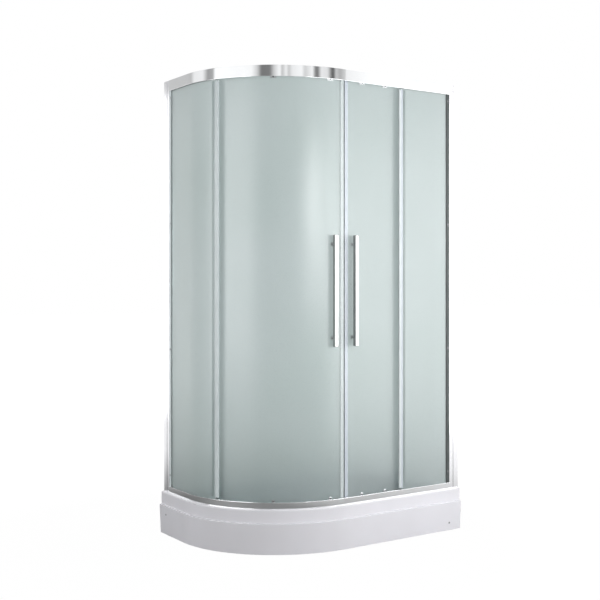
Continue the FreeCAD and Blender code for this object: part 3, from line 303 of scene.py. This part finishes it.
def stretched(tree, where, scale):
    mapping = tree.nodes.new("ShaderNodeMapping")
    mapping.inputs["Scale"].default_value = scale
    tree.links.new(where, mapping.inputs["Vector"])
    return mapping.outputs["Vector"]


def noise(tree, where, scale, detail=3.0, rough=0.5):
    texture = tree.nodes.new("ShaderNodeTexNoise")
    texture.inputs["Scale"].default_value = scale
    texture.inputs["Detail"].default_value = detail
    texture.inputs["Roughness"].default_value = rough
    tree.links.new(where, texture.inputs["Vector"])
    return texture.outputs["Fac"]


def spread(tree, source, low, high, start=0.3, end=0.7):  # a texture value as a new range
    band = tree.nodes.new("ShaderNodeMapRange")
    band.inputs["From Min"].default_value = start
    band.inputs["From Max"].default_value = end
    band.inputs["To Min"].default_value = low
    band.inputs["To Max"].default_value = high
    tree.links.new(source, band.inputs["Value"])
    return band.outputs["Result"]


def tints(tree, source, stops):
    ramp = tree.nodes.new("ShaderNodeValToRGB")
    elements = ramp.color_ramp.elements
    for element, (place, colour) in zip((elements[0], elements[1]), (stops[0], stops[-1])):
        element.position = place
        element.color = (*colour, 1)
    for place, colour in stops[1:-1]:
        elements.new(place).color = (*colour, 1)
    tree.links.new(source, ramp.inputs["Fac"])
    return ramp.outputs["Color"]


def bumps(tree, source, strength, distance):
    bump = tree.nodes.new("ShaderNodeBump")
    bump.inputs["Strength"].default_value = strength
    bump.inputs["Distance"].default_value = distance
    tree.links.new(source, bump.inputs["Height"])
    return bump.outputs["Normal"]


acrylicLook = {
    "tints": [(0.3, (0.76, 0.755, 0.79)), (0.7, (0.81, 0.805, 0.85))],
    "roughness": (0.13, 0.2),
    "ior": 1.49,
    "coat": 0.35,
    "coatRoughness": 0.05,
    "depth": 0.03,
    "depthRadius": (0.004, 0.003, 0.003),
}
glassLook = {
    "tints": [(0.3, (0.50, 0.58, 0.57)), (0.7, (0.55, 0.62, 0.62))],
    "roughness": (0.26, 0.34),
    "through": 0.76,
    "ior": 1.5,
}


def acrylicFinish(look):
    finish, tree, shader, where = startFinish("trayAcrylic")
    cloud = noise(tree, where, 3.0, 2.0)
    tree.links.new(tints(tree, cloud, look["tints"]), shader.inputs["Base Color"])
    fine = noise(tree, where, 260.0, 2.0)
    tree.links.new(spread(tree, fine, *look["roughness"]), shader.inputs["Roughness"])
    ripple = noise(tree, where, 34.0, 2.0)
    tree.links.new(bumps(tree, ripple, 0.06, 0.002), shader.inputs["Normal"])
    shader.inputs["IOR"].default_value = look["ior"]
    shader.inputs["Coat Weight"].default_value = look["coat"]
    shader.inputs["Coat Roughness"].default_value = look["coatRoughness"]
    shader.inputs["Subsurface Weight"].default_value = look["depth"]
    shader.inputs["Subsurface Radius"].default_value = look["depthRadius"]
    return finish


def glassFinish(look):
    finish, tree, shader, where = startFinish("frostedGlass")
    cloud = noise(tree, where, 1.6, 2.0)
    tree.links.new(tints(tree, cloud, look["tints"]), shader.inputs["Base Color"])
    grain = noise(tree, where, 900.0, 2.0, 0.6)
    tree.links.new(spread(tree, grain, *look["roughness"]), shader.inputs["Roughness"])
    tree.links.new(bumps(tree, grain, 0.18, 0.0004), shader.inputs["Normal"])
    shader.inputs["Transmission Weight"].default_value = look["through"]
    shader.inputs["IOR"].default_value = look["ior"]
    return finish


def chromeFinish(name, colour, rough, streak=(1, 1, 60)):
    finish, tree, shader, where = startFinish(name)
    along = noise(tree, stretched(tree, where, streak), 40.0, 3.0)
    cloud = noise(tree, where, 9.0, 3.0)
    paler = tuple(min(1.0, part * 1.04) for part in colour)
    tree.links.new(tints(tree, cloud, [(0.3, colour), (0.7, paler)]),
                   shader.inputs["Base Color"])
    tree.links.new(spread(tree, along, rough * 0.75, rough * 1.35), shader.inputs["Roughness"])
    tree.links.new(bumps(tree, along, 0.01, 0.0002), shader.inputs["Normal"])
    shader.inputs["Metallic"].default_value = 1.0
    return finish


def plasticFinish(name, colours, rough, grainScale=600.0, bump=0.1, through=0.0):
    finish, tree, shader, where = startFinish(name)
    cloud = noise(tree, where, 22.0, 3.0)
    tree.links.new(tints(tree, cloud, [(0.3, colours[0]), (0.7, colours[1])]),
                   shader.inputs["Base Color"])
    grain = noise(tree, where, grainScale, 2.0)
    tree.links.new(spread(tree, grain, rough - 0.06, rough + 0.06), shader.inputs["Roughness"])
    tree.links.new(bumps(tree, grain, bump, 0.0003), shader.inputs["Normal"])
    shader.inputs["Transmission Weight"].default_value = through
    shader.inputs["IOR"].default_value = 1.46
    return finish


def galvanisedFinish():
    finish, tree, shader, where = startFinish("galvanisedSteel")
    flakes = tree.nodes.new("ShaderNodeTexVoronoi")
    flakes.inputs["Scale"].default_value = 70.0
    tree.links.new(where, flakes.inputs["Vector"])
    tree.links.new(tints(tree, flakes.outputs["Color"],
                         [(0.1, (0.42, 0.44, 0.46)), (0.9, (0.62, 0.64, 0.66))]),
                   shader.inputs["Base Color"])
    tree.links.new(spread(tree, flakes.outputs["Distance"], 0.32, 0.55, 0.0, 1.0),
                   shader.inputs["Roughness"])
    shader.inputs["Metallic"].default_value = 0.85
    return finish


def plywoodFinish():
    finish, tree, shader, where = startFinish("birchPlywood")
    grain = noise(tree, stretched(tree, where, (2, 26, 300)), 4.0, 5.0, 0.6)
    tree.links.new(tints(tree, grain, [(0.3, (0.42, 0.27, 0.14)), (0.5, (0.6, 0.42, 0.24)),
                                       (0.72, (0.72, 0.54, 0.34))]), shader.inputs["Base Color"])
    tree.links.new(spread(tree, grain, 0.6, 0.8), shader.inputs["Roughness"])
    tree.links.new(bumps(tree, grain, 0.25, 0.0006), shader.inputs["Normal"])
    return finish


finishes = {
    "acrylic": acrylicFinish(acrylicLook),
    "glass": glassFinish(glassLook),
    "rail": chromeFinish("polishedRail", (0.86, 0.87, 0.88), 0.06),
    "profile": chromeFinish("brightProfile", (0.88, 0.88, 0.9), 0.12, (60, 60, 1)),
    "handle": chromeFinish("handleSteel", (0.33, 0.33, 0.325), 0.22, (60, 60, 1)),
    "chrome": chromeFinish("turnedChrome", (0.82, 0.83, 0.84), 0.09),
    "steel": chromeFinish("zincSteel", (0.56, 0.57, 0.58), 0.32),
    "darkSteel": chromeFinish("darkSteel", (0.22, 0.22, 0.23), 0.38),
    "seal": plasticFinish("clearSeal", ((0.66, 0.72, 0.80), (0.72, 0.78, 0.86)), 0.22,
                          500.0, 0.05, 0.25),
    "paleSeal": plasticFinish("paleSeal", ((0.76, 0.83, 0.84), (0.8, 0.87, 0.88)), 0.3,
                              500.0, 0.02, 0.35),
    # seal lips: grey that is partly the lip's own colour and partly painted shade of the gap at
    # the seal's free edge
    "lip": plasticFinish("sealLip", ((0.56, 0.61, 0.62), (0.62, 0.67, 0.68)), 0.4),
    "paleLip": plasticFinish("paleSealLip", ((0.62, 0.69, 0.7), (0.68, 0.75, 0.76)), 0.4),
    "rubber": plasticFinish("darkRubber", ((0.035, 0.045, 0.045), (0.06, 0.07, 0.07)), 0.55),
    "dark": plasticFinish("blackNylon", ((0.02, 0.022, 0.024), (0.035, 0.038, 0.04)), 0.42),
    "white": plasticFinish("whitePlastic", ((0.72, 0.72, 0.70), (0.8, 0.8, 0.78)), 0.35),
    "galvanised": galvanisedFinish(),
    "plywood": plywoodFinish(),
}

nodeFinish = {
    "tray_shell": "acrylic", "front_apron": "acrylic", "apron_screws": "darkSteel",
    "reinforcing_board": "plywood", "support_frame": "galvanised", "foot_stems": "steel",
    "foot_pads": "dark", "foot_locknuts": "steel", "waste_trap": "white",
    "waste_seal": "rubber", "waste_flange": "chrome", "outlet_pipe": "white",
    "drain_cover": "chrome", "wall_profile_right": "profile", "wall_profile_back": "profile",
    "jamb_right": "profile", "jamb_back": "profile", "jamb_gasket_right": "rubber",
    "jamb_gasket_back": "paleLip", "clamp_screws": "darkSteel", "top_rail": "rail",
    "bottom_rail": "rail", "rail_brackets": "dark", "rail_screws": "steel",
    "door_stops": "rubber", "fixed_glass_right": "glass", "fixed_glass_left": "glass",
    "fixed_seal_right": "seal", "fixed_seal_left": "seal", "top_glazing": "rubber",
    "bottom_glazing": "rubber",
}
doorFinish = {
    "door_glass": "glass", "magnet_seal": "seal", "rear_seal": "paleSeal", "handle": "handle",
    "handle_posts": "steel", "handle_nuts": "chrome", "hangers": "steel", "guides": "steel",
    "roller_bolts": "chrome", "axles": "steel",
}
for side in ("right", "left"):
    for part, finishName in doorFinish.items():
        nodeFinish[side + "_" + part] = finishName
wheels = [name for name in nodes if "_wheel_" in name]
for name in wheels:
    nodeFinish[name] = "white"
for name, node in nodes.items():
    dress(node, finishes[nodeFinish[name]])
print("finishes on", len(nodes), "nodes")


# nodes whose shape is right, with their edges broken so that they catch the light
edgeBreaks = {
    "tray_shell": 0.0012, "front_apron": 0.0012, "wall_profile_right": 0.0006,
    "wall_profile_back": 0.0006, "jamb_right": 0.0006, "jamb_back": 0.0006,
    "jamb_gasket_right": 0.0003, "jamb_gasket_back": 0.0003, "fixed_glass_right": 0.0005,
    "right_door_glass": 0.0005, "right_rear_seal": 0.0003, "left_rear_seal": 0.0003,
    "right_hangers": 0.0005, "left_hangers": 0.0005, "right_guides": 0.0005,
    "left_guides": 0.0005, "right_axles": 0.0005, "left_axles": 0.0005, "rail_brackets": 0.0008,
    "waste_flange": 0.0005, "waste_trap": 0.001, "outlet_pipe": 0.0006,
    "support_frame": 0.0015, "foot_pads": 0.0015, "foot_locknuts": 0.0008,
    "reinforcing_board": 0.0008, "door_stops": 0.001,
}
for name in wheels:
    edgeBreaks[name] = 0.0005
for name, width in edgeBreaks.items():
    refine(name, nodeFinish[name], width)
print("edges broken on", len(edgeBreaks), "nodes")


# rails: the section is grown wall by wall, spun round the corner and run out to both walls
railLook = {
    "steps": 60,
    "edge": 0.0007,
    "endRight": 0.549,
    "endBack": 0.349,
    "upper": {
        "node": "top_rail",
        "insets": (0.024, 0.026),
        "zs": (2.100, 2.1475),
        "grow": [
            ((0.025, 2.1475), (0, 0.0025)),
            ((0.026, 2.14875), (0.0125, 0)),
            ((0.0385, 2.14875), (0.002, 0)),
            ((0.0405, 2.14875), (0.0235, 0)),
            ((0.064, 2.14875), (0.002, 0)),
            ((0.065, 2.1475), (0, -0.0235)),
            ((0.0395, 2.1475), (0, -0.0415)),
            ((0.0395, 2.106), (0, -0.002)),
            ((0.0405, 2.105), (0.006, 0)),
            ((0.0465, 2.105), (0.003, 0)),
            ((0.048, 2.106), (0, 0.0035)),
        ],
    },
    "lower": {
        "node": "bottom_rail",
        "insets": (0.024, 0.026),
        "zs": (0.200, 0.202),
        "grow": [
            ((0.025, 0.202), (0, 0.026)),
            ((0.026, 0.201), (0.0125, 0)),
            ((0.0385, 0.201), (0.002, 0)),
            ((0.0405, 0.201), (0.006, 0)),
            ((0.0465, 0.201), (0.003, 0)),
            ((0.0495, 0.201), (0.0145, 0)),
            ((0.064, 0.201), (0.002, 0)),
            ((0.0395, 0.202), (0, 0.024)),
            ((0.048, 0.202), (0, 0.0045)),
            ((0.065, 0.202), (0, 0.008)),
        ],
    },
}


def makeRail(look, shape):
    rail = sectionPiece(pieceName(shape["node"]), shape["insets"], shape["zs"])
    for place, step in shape["grow"]:
        growSection(rail, place, step)
    bendSection(rail, 90, look["steps"])
    extrudeEnd(rail, 0, 0, (look["endRight"] - plan["arcX"], 0, 0))
    extrudeEnd(rail, 1, 0, (0, look["endBack"] - plan["arcY"], 0))
    toStation(rail, (0, 0))
    softenEdges(rail, look["edge"], 2, 40)
    return standFor(rail, shape["node"], "rail")


for level in ("upper", "lower"):
    makeRail(railLook, railLook[level])
print("rails spun and run out to the walls")


# curved panes, spun so that their reflections run smoothly
paneLook = {
    "edge": 0.0005,
    "door": {"zs": (0.213, 2.120), "angles": (-0.23, 70.5), "steps": 56},
    "fixed": {"zs": (0.213, 2.1375), "angles": (67.5, 90), "steps": 20, "back": 0.364},
}


def makePane(node, inset, shape, edge):
    start, end = shape["angles"]
    pane = sectionPiece(pieceName(node), (inset, inset + plan["glassSkin"]), shape["zs"])
    bendSection(pane, end - start, shape["steps"])
    pane.data.transform(Matrix.Rotation(-math.radians(start), 4, "Z"))
    if "back" in shape:
        extrudeEnd(pane, 1, 0, (0, shape["back"] - plan["arcY"], 0))
    toStation(pane, (0, 0))
    softenEdges(pane, edge, 2)
    standFor(pane, node, "glass")


makePane("left_door_glass", plan["doorInset"], paneLook["door"], paneLook["edge"])
makePane("fixed_glass_left", plan["fixedInset"], paneLook["fixed"], paneLook["edge"])
print("curved panes in place")


# seals: a clear clip over the glass edge and a lip whose grey is partly its own colour and
# partly painted shade of the gap at the seal's edge, and a dark magnet in each door seal
sealLook = {
    "leg": 0.0016,
    "low": 0.236,
    "high": 2.094,
    "doorLow": 0.2130,
    "doorHigh": 2.1200,
    "fixedEdge": 0.262,
    "fixedAngle": 67.5,
    "tip": 0.012,
    "reach": 0.008,
    "magnetSkin": 0.0022,
    "magnetDepth": 0.006,
    "legReach": 0.020,
    "gap": 0.0003,
    "soft": 0.0004,
}


def finishStrip(strip, node, finish, look):
    softenEdges(strip, look["soft"], 2, 40)
    return standFor(strip, node, finish)


def makeFixedSeals(look):
    outer = (plan["fixedInset"] - look["leg"], plan["fixedInset"])
    middle = (plan["fixedInset"], plan["fixedInset"] + plan["glassSkin"])
    inner = (middle[1], middle[1] + look["leg"])
    zs = (look["low"], look["high"])
    edge = look["fixedEdge"] - plan["arcX"] - plan["meeting"]
    turn = 180 / (math.pi * (plan["radius"] - plan["fixedInset"]))
    lips = []
    clips = []
    for insets in (outer, inner):
        clips.append(stripPiece("clip", "right", insets, zs, (edge, edge + look["reach"])))
        lips.append(stripPiece("lip", "right", insets, zs, (edge - look["tip"], edge)))
    lips.append(stripPiece("lip", "right", middle, zs, (edge - look["tip"], edge)))
    finishStrip(joinPieces("fixedSealRight", clips), "fixed_seal_right", "seal", look)
    # the right lip strips carry grey that is partly painted shade of the gap beside the door
    finishStrip(joinPieces("fixedSealRightLip", lips), "fixed_seal_right", "lip", look)
    angle = look["fixedAngle"]
    tip = angle - look["tip"] * turn
    reach = angle + look["reach"] * turn
    clips = [cornerStrip("clip", insets, zs, (angle, reach)) for insets in (outer, inner)]
    lips = [cornerStrip("lip", insets, zs, (tip, angle)) for insets in (outer, middle, inner)]
    finishStrip(joinPieces("fixedSealLeft", clips), "fixed_seal_left", "paleSeal", look)
    # the left lip's grey is partly painted shade of the gap as well
    finishStrip(joinPieces("fixedSealLeftLip", lips), "fixed_seal_left", "paleLip", look)


def makeMagnetSeal(side, look):
    glass = (plan["doorInset"], plan["doorInset"] + plan["glassSkin"])
    outer = (glass[0] - look["leg"], glass[0])
    inner = (glass[1], glass[1] + look["leg"])
    zs = (look["doorLow"], look["doorHigh"])
    start = look["gap"]
    magnetEnd = start + look["magnetSkin"]
    node = side + "_magnet_seal"
    legs = [stripPiece("leg", side, insets, zs, (magnetEnd, look["legReach"]))
            for insets in (outer, inner)]
    legs.append(stripPiece("leg", side, glass, zs, (magnetEnd, look["magnetDepth"])))
    magnet = stripPiece("magnet", side, (outer[0], inner[1]), zs, (start, magnetEnd))
    finish = "seal" if side == "right" else "paleSeal"
    finishStrip(joinPieces(pieceName(node), legs), node, finish, look)
    finishStrip(joinPieces(pieceName(node) + "Strip", [magnet]), node, "rubber", look)


makeFixedSeals(sealLook)
for side in ("right", "left"):
    makeMagnetSeal(side, sealLook)
print("seals and magnet strips in place")


# handles: a soft-edged bar on two collared posts, with domed cap nuts inside
stations = {  # degrees round the corner and metres along the front
    "right": {"handle": (0, 0.056), "rollers": [(0, 0.104), (0, 0.235)]},
    "left": {"handle": (5.7, 0), "rollers": [(7.5, 0), (37.3, 0)]},
}
handleLook = {
    "halfWidth": 0.0085,
    "front": 0.020,
    "back": 0.042,
    "zs": (0.907, 1.407),
    "edge": 0.0015,
    "posts": (0.947, 1.367),
    "postRadius": 0.006,
    "collarRadius": 0.0085,
    "collarSkin": 0.0022,
    "postEdge": 0.0005,
    "nutGap": 0.0001,
    "nutRadius": 0.009,
    "nutSkin": 0.007,
    "nutDrop": 0.0024,
    "nutDome": [(0.0012, 0.0012), (0.002, 0.0008), (0.003, 0.0004)],
}


def makeHandle(side, look):
    station = stations[side]["handle"]
    half = look["halfWidth"]
    bar = boxPiece(side + "Handle", (-half, half), (look["front"], look["back"]), look["zs"])
    softenEdges(bar, look["edge"], 5)
    toStation(bar, station)
    standFor(bar, side + "_handle", "handle")
    posts = []
    nuts = []
    glass = plan["doorInset"]
    inside = glass + plan["glassSkin"] + look["nutGap"]
    for z in look["posts"]:
        post = rodPiece("post", look["postRadius"], (look["back"], glass), z)
        collarInsets = (glass - look["collarSkin"], glass)
        collar = rodPiece("collar", look["collarRadius"], collarInsets, z)
        for part in (post, collar):
            softenEdges(part, look["postEdge"], 3)
        posts += [post, collar]
        nut = rodPiece("nut", look["nutRadius"], (inside, inside + look["nutSkin"]), z)
        domeNut(nut, faceY(inside + look["nutSkin"]), look)
        nuts.append(nut)
    posts = toStation(joinPieces(side + "HandlePosts", posts), station)
    nuts = toStation(joinPieces(side + "HandleNuts", nuts), station)
    standFor(posts, side + "_handle_posts", "steel")
    standFor(nuts, side + "_handle_nuts", "chrome")


def domeNut(nut, faceAt, look):  # the inner face shrinks step by step to a shallow dome
    selectFaces(nut, lambda face: face.calc_center_median().y > faceAt - fineness["near"]
                and abs(face.normal.y) > fineness["facing"])
    bpy.ops.transform.translate(value=(0, -look["nutDrop"], 0))
    for shrink, rise in look["nutDome"]:
        bpy.ops.mesh.inset(thickness=shrink, depth=rise)
    objectMode()
    smoothPiece(nut, 50)


for side in ("right", "left"):
    makeHandle(side, handleLook)
print("handles in place")


# bolts that hold the hangers and the guide plates: round heads with a sunk socket
boltLook = {
    "headRadius": 0.0045,
    "headOut": 0.0508,
    "plate": 0.053,
    "nutGap": 0.0001,
    "nutOut": 0.0633,
    "nutSides": 6,
    "shankRadius": 0.003,
    "shankSides": 24,
    "zs": {"Hanger": 2.1025, "Guide": 0.2278},
    "rim": 0.0011,
    "sink": 0.0012,
    "edge": 0.0003,
}


def sinkShadedSocket(head, look):  # a round socket sunk in the outer face, its floor dressed dark as painted shade
    faceAt = faceY(look["headOut"])
    head.data.materials.append(finishes["dark"])
    selectFaces(head, lambda face: face.calc_center_median().y < faceAt + fineness["near"]
                and abs(face.normal.y) > fineness["facing"])
    bpy.ops.mesh.inset(thickness=look["rim"], depth=0)
    bpy.ops.mesh.extrude_region_move(TRANSFORM_OT_translate={"value": (0, look["sink"], 0)})
    # the socket floor takes the dark finish: painted shade in the recess
    head.active_material_index = 1
    bpy.ops.object.material_slot_assign()
    objectMode()


def makeBolts(side, look):
    nutInsets = (plan["doorInset"] + plan["glassSkin"] + look["nutGap"], look["nutOut"])
    for level, z in look["zs"].items():
        bolts = []
        for station in stations[side]["rollers"]:
            head = rodPiece("head", look["headRadius"], (look["headOut"], look["plate"]), z)
            nut = rodPiece("nut", look["headRadius"], nutInsets, z, look["nutSides"])
            shank = rodPiece("shank", look["shankRadius"], (look["plate"], look["nutOut"]), z,
                             look["shankSides"])
            for part in (head, nut, shank):
                dress(part, finishes["chrome"])
            sinkShadedSocket(head, look)
            bolts += [toStation(part, station) for part in (head, nut, shank)]
        bolts = joinPieces(side + level + "Bolts", bolts)
        softenEdges(bolts, look["edge"], 2, 40)
        standFor(bolts, side + "_roller_bolts")


for side in ("right", "left"):
    makeBolts(side, boltLook)
print("bolts in place")


# small screws: domed heads with a sunk cross
screwLook = {
    "edge": 0.0004,
    "arm": 0.0012,
    "reach": 0.0046,
    "sink": 0.0009,
    "apronFront": (0.53, 0.04),  # x and z
    "apronSide": (0.33, 0.1),  # y and z
    "clampX": 0.541,
    "clampY": 0.341,
    "clampLow": 0.282,
    "clampStep": 0.595,
    "clampCount": 4,
}


def crossCut(screw, place, way, look):  # the cross is cut by two crossed blades
    turned = Vector(way).to_track_quat("Z", "Y").to_matrix().to_4x4()
    for spin in (0, 90):
        clearSelection()
        bpy.ops.mesh.primitive_cube_add(size=1)
        blade = startPiece("blade")
        blade.scale = (look["arm"], look["reach"], look["sink"] * 2)
        settle(blade)
        spun = Matrix.Rotation(math.radians(spin), 4, "Z")
        blade.data.transform(Matrix.Translation(place) @ turned @ spun)
        applyModifier(screw, "BOOLEAN", operation="DIFFERENCE", object=blade, solver="EXACT")
        bpy.data.objects.remove(blade)


def makeScrews(node, finish, places, look):  # places: the middle and way of each head's face
    screws = refine(node, finish, look["edge"])
    for place, way in places:
        crossCut(screws, Vector(place), way, look)
    smoothPiece(screws, 32)


def apronFaces(look):
    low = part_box("apron_screws")[0]
    x, frontZ = look["apronFront"]
    return [((x, low.y, frontZ), (0, -1, 0)), ((low.x, *look["apronSide"]), (-1, 0, 0))]


def clampFaces(look):
    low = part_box("clamp_screws")[0]
    heights = [look["clampLow"] + look["clampStep"] * step
               for step in range(look["clampCount"])]
    return ([((look["clampX"], low.y, z), (0, -1, 0)) for z in heights]
            + [((low.x, look["clampY"], z), (-1, 0, 0)) for z in heights])


makeScrews("apron_screws", "darkSteel", apronFaces(screwLook), screwLook)
makeScrews("clamp_screws", "darkSteel", clampFaces(screwLook), screwLook)
refine("rail_screws", "steel", screwLook["edge"])
print("screws in place")


# the lift-off cover of the waste: a shallow dome on a short skirt
coverLook = {
    "place": (0.29, 0.12),
    "low": 0.1078,
    "radius": 0.054,
    "rimSkin": 0.003,
    "dome": [(0.006, 0.0022), (0.009, 0.0018), (0.011, 0.0012), (0.012, 0.0008)],
    "skirtRadius": 0.035,
    "skirtDrop": 0.006,
    "skirtWall": 0.003,
    "skirtHollow": 0.0054,
    "edge": 0.0006,
}


def standingDisc(name, look, radius, low, high, sides):
    clearSelection()
    bpy.ops.mesh.primitive_cylinder_add(vertices=sides, radius=radius, depth=high - low,
                                        location=(*look["place"], (low + high) / 2))
    return settle(startPiece(name))


def makeCover(look):
    low = look["low"]
    cover = standingDisc("drainCover", look, look["radius"], low, low + look["rimSkin"], 96)
    selectFaces(cover, lambda face: face.normal.z > fineness["facing"])
    for shrink, rise in look["dome"]:
        bpy.ops.mesh.inset(thickness=shrink, depth=rise)
    objectMode()
    skirt = standingDisc("skirt", look, look["skirtRadius"], low - look["skirtDrop"], low, 64)
    selectFaces(skirt, lambda face: face.normal.z < -fineness["facing"])
    bpy.ops.mesh.inset(thickness=look["skirtWall"], depth=0)
    bpy.ops.mesh.extrude_region_move(
        TRANSFORM_OT_translate={"value": (0, 0, look["skirtHollow"])})
    objectMode()
    cover = joinPieces("drainCover", [cover, skirt])
    softenEdges(cover, look["edge"], 3, 40)
    standFor(cover, "drain_cover", "chrome")


makeCover(coverLook)
print("drain cover in place")


# floor, light and camera
stageLook = {
    "floorSize": 60.0,
    "floorDrop": 0.0005,
    # floor colour darker near the piece than far off: painted shade, seen by gloss and by rays
    # through the glass
    "floorTints": [(0.0, (0.24, 0.24, 0.24)), (1.0, (0.6, 0.6, 0.6))],
    "middle": (-0.5, -0.02, 0),
    "reach": (1.25, 2.8),
    "shares": {"Is Camera Ray": (0.955, 1.0, 1.25, 2.8),
               "Is Transmission Ray": (0.25, 1.0, 1.0, 7.0),
               "Is Glossy Ray": (0.0, 0.85, 1.25, 2.8)},
    "paper": 1.035,
    "fill": 0.22,
    "room": 1.15,
    "bands": [
        (-178, 0.6), (-150, 1.0), (-34.5, 1.0), (-32.5, 0.62), (-26, 0.42), (-21.5, 0.6),
        (-19, 0.1), (-16.5, 0.14), (-12, 0.75), (-5, 0.8), (-2, 0.2), (1, 0.2), (4, 0.9),
        (12, 0.6), (15, 0.92), (25, 0.8), (28, 0.55), (31, 0.85), (35, 0.5), (37, 0.95),
        (43, 0.6), (47, 0.2), (56, 0.18), (60, 0.6), (66, 0.92), (108, 1.0), (111, 0.4),
        (118, 0.32), (126, 0.85), (140, 0.8), (146, 0.5), (178, 0.6),
    ],
}


def maths(tree, operation, *values):  # one step of arithmetic, on outputs or plain numbers
    step = tree.nodes.new("ShaderNodeMath")
    step.operation = operation
    for socket, value in zip(step.inputs, values):
        if isinstance(value, bpy.types.NodeSocket):
            tree.links.new(value, socket)
        else:
            socket.default_value = value
    return step.outputs[0]


def mixed(tree, share, under, over):
    mix = tree.nodes.new("ShaderNodeMixShader")
    for source, socket in zip((share, under, over), mix.inputs):
        tree.links.new(source, socket)
    return mix.outputs[0]


def makeFloor(look):
    clearSelection()
    bpy.ops.mesh.primitive_plane_add(size=look["floorSize"],
                                     location=(0, 0, -look["floorDrop"]))
    floor = startPiece("studioFloor")
    settle(floor)
    finish, tree, shader, where = startFinish("studioPaper")
    cloud = noise(tree, where, 5.0, 3.0)
    tree.links.new(spread(tree, cloud, 0.75, 0.85), shader.inputs["Roughness"])
    reach = tree.nodes.new("ShaderNodeVectorMath")
    reach.operation = "DISTANCE"
    reach.inputs[1].default_value = look["middle"]
    tree.links.new(where, reach.inputs[0])
    # the floor colour darkens towards the piece: painted shade
    away = spread(tree, reach.outputs["Value"], 0.0, 1.0, *look["reach"])
    tree.links.new(tints(tree, away, look["floorTints"]), shader.inputs["Base Color"])
    # paper white for what looks straight at it, most of all far from the piece
    path = tree.nodes.new("ShaderNodeLightPath")
    whole = 0.0
    for kind, course in look["shares"].items():
        away = spread(tree, reach.outputs["Value"], *course)
        whole = maths(tree, "MAXIMUM", whole, maths(tree, "MULTIPLY", path.outputs[kind], away))
    glow = tree.nodes.new("ShaderNodeEmission")
    glow.inputs["Strength"].default_value = look["paper"]
    tree.links.new(mixed(tree, whole, shader.outputs[0], glow.outputs[0]),
                   tree.nodes["Material Output"].inputs["Surface"])
    dress(floor, finish)


def glowing(tree, strength):
    light = tree.nodes.new("ShaderNodeBackground")
    light.inputs["Strength"].default_value = strength
    return light


def makeWorld(look):
    world = bpy.data.worlds.new("studioWorld")
    bpy.context.scene.world = world
    world.use_nodes = True
    tree = world.node_tree
    tree.nodes.clear()
    out = tree.nodes.new("ShaderNodeOutputWorld")
    fill = glowing(tree, look["fill"])
    room = glowing(tree, look["room"])
    paper = glowing(tree, 1.0)
    paper.inputs["Color"].default_value = (1, 1, 1, 1)
    # the room as gloss shows it: bands round the compass, from the front towards the left
    where = tree.nodes.new("ShaderNodeTexCoord")
    parts = tree.nodes.new("ShaderNodeSeparateXYZ")
    tree.links.new(where.outputs["Generated"], parts.inputs[0])
    leftward, forward = (maths(tree, "MULTIPLY", parts.outputs[axis], -1.0) for axis in "XY")
    compass = maths(tree, "ARCTAN2", leftward, forward)
    turn = spread(tree, compass, 0.0, 1.0, -math.pi, math.pi)
    bands = tints(tree, turn, [(place / 360 + 0.5, (tone, tone, tone))
                               for place, tone in look["bands"]])
    tree.links.new(bands, room.inputs["Color"])
    path = tree.nodes.new("ShaderNodeLightPath")
    seen = maths(tree, "MAXIMUM", path.outputs["Is Camera Ray"],
                 path.outputs["Is Transmission Ray"])
    light = mixed(tree, path.outputs["Is Glossy Ray"], fill.outputs[0], room.outputs[0])
    tree.links.new(mixed(tree, seen, light, paper.outputs[0]), out.inputs["Surface"])


def makeLamp(name, place, aim, size, power):
    clearSelection()
    bpy.ops.object.light_add(type="AREA", location=place)
    lamp = bpy.context.object
    lamp.name = name
    lamp.data.shape = "RECTANGLE"
    lamp.data.size, lamp.data.size_y = size
    lamp.data.energy = power
    way = Vector(aim) - Vector(place)
    lamp.rotation_euler = way.to_track_quat("-Z", "Y").to_euler()


shot = {
    "place": (-2.66609, -4.26865, 1.2089),
    "yaw": 0.6429,
    "sensor": 36,
    "focal": 1044.66,
    "frame": 600,
    "centreX": 400.0,
    "centreY": 279.22,
    "clipEnd": 100,
}


def makeCamera(look):  # focal length and centre are in pixels of the square frame
    bpy.ops.object.camera_add(location=look["place"])
    camera = bpy.context.object
    camera.name = "photoCamera"
    camera.rotation_euler = (math.radians(90), 0, -look["yaw"])
    camera.data.sensor_width = look["sensor"]
    camera.data.lens = look["sensor"] * look["focal"] / look["frame"]
    camera.data.shift_x = (look["frame"] / 2 - look["centreX"]) / look["frame"]
    camera.data.shift_y = (look["centreY"] - look["frame"] / 2) / look["frame"]
    camera.data.clip_end = look["clipEnd"]
    bpy.context.scene.camera = camera


makeFloor(stageLook)
makeWorld(stageLook)
makeLamp("keyLamp", (2.8, -3.4, 1.3), (0.1, -0.3, 1.1), (4.6, 2.6), 132)
makeLamp("windowLamp", (0.2, -2.5, 1.55), (-0.15, -0.35, 1.5), (1.6, 1.1), 21)
makeLamp("spotLamp", (-0.3, -2.6, 1.72), (-0.25, -0.35, 1.55), (0.7, 0.5), 9)
makeLamp("sideLamp", (-4.1, 0.0, 1.5), (-0.4, 0, 1.1), (3.6, 2.2), 80)
makeLamp("backLamp", (-2.3, 4.0, 1.4), (-0.5, 0.3, 1.2), (1.6, 2.7), 14.5)
makeCamera(shot)
bpy.context.scene.view_settings.view_transform = "Standard"
print("floor, lamps and camera are in place")
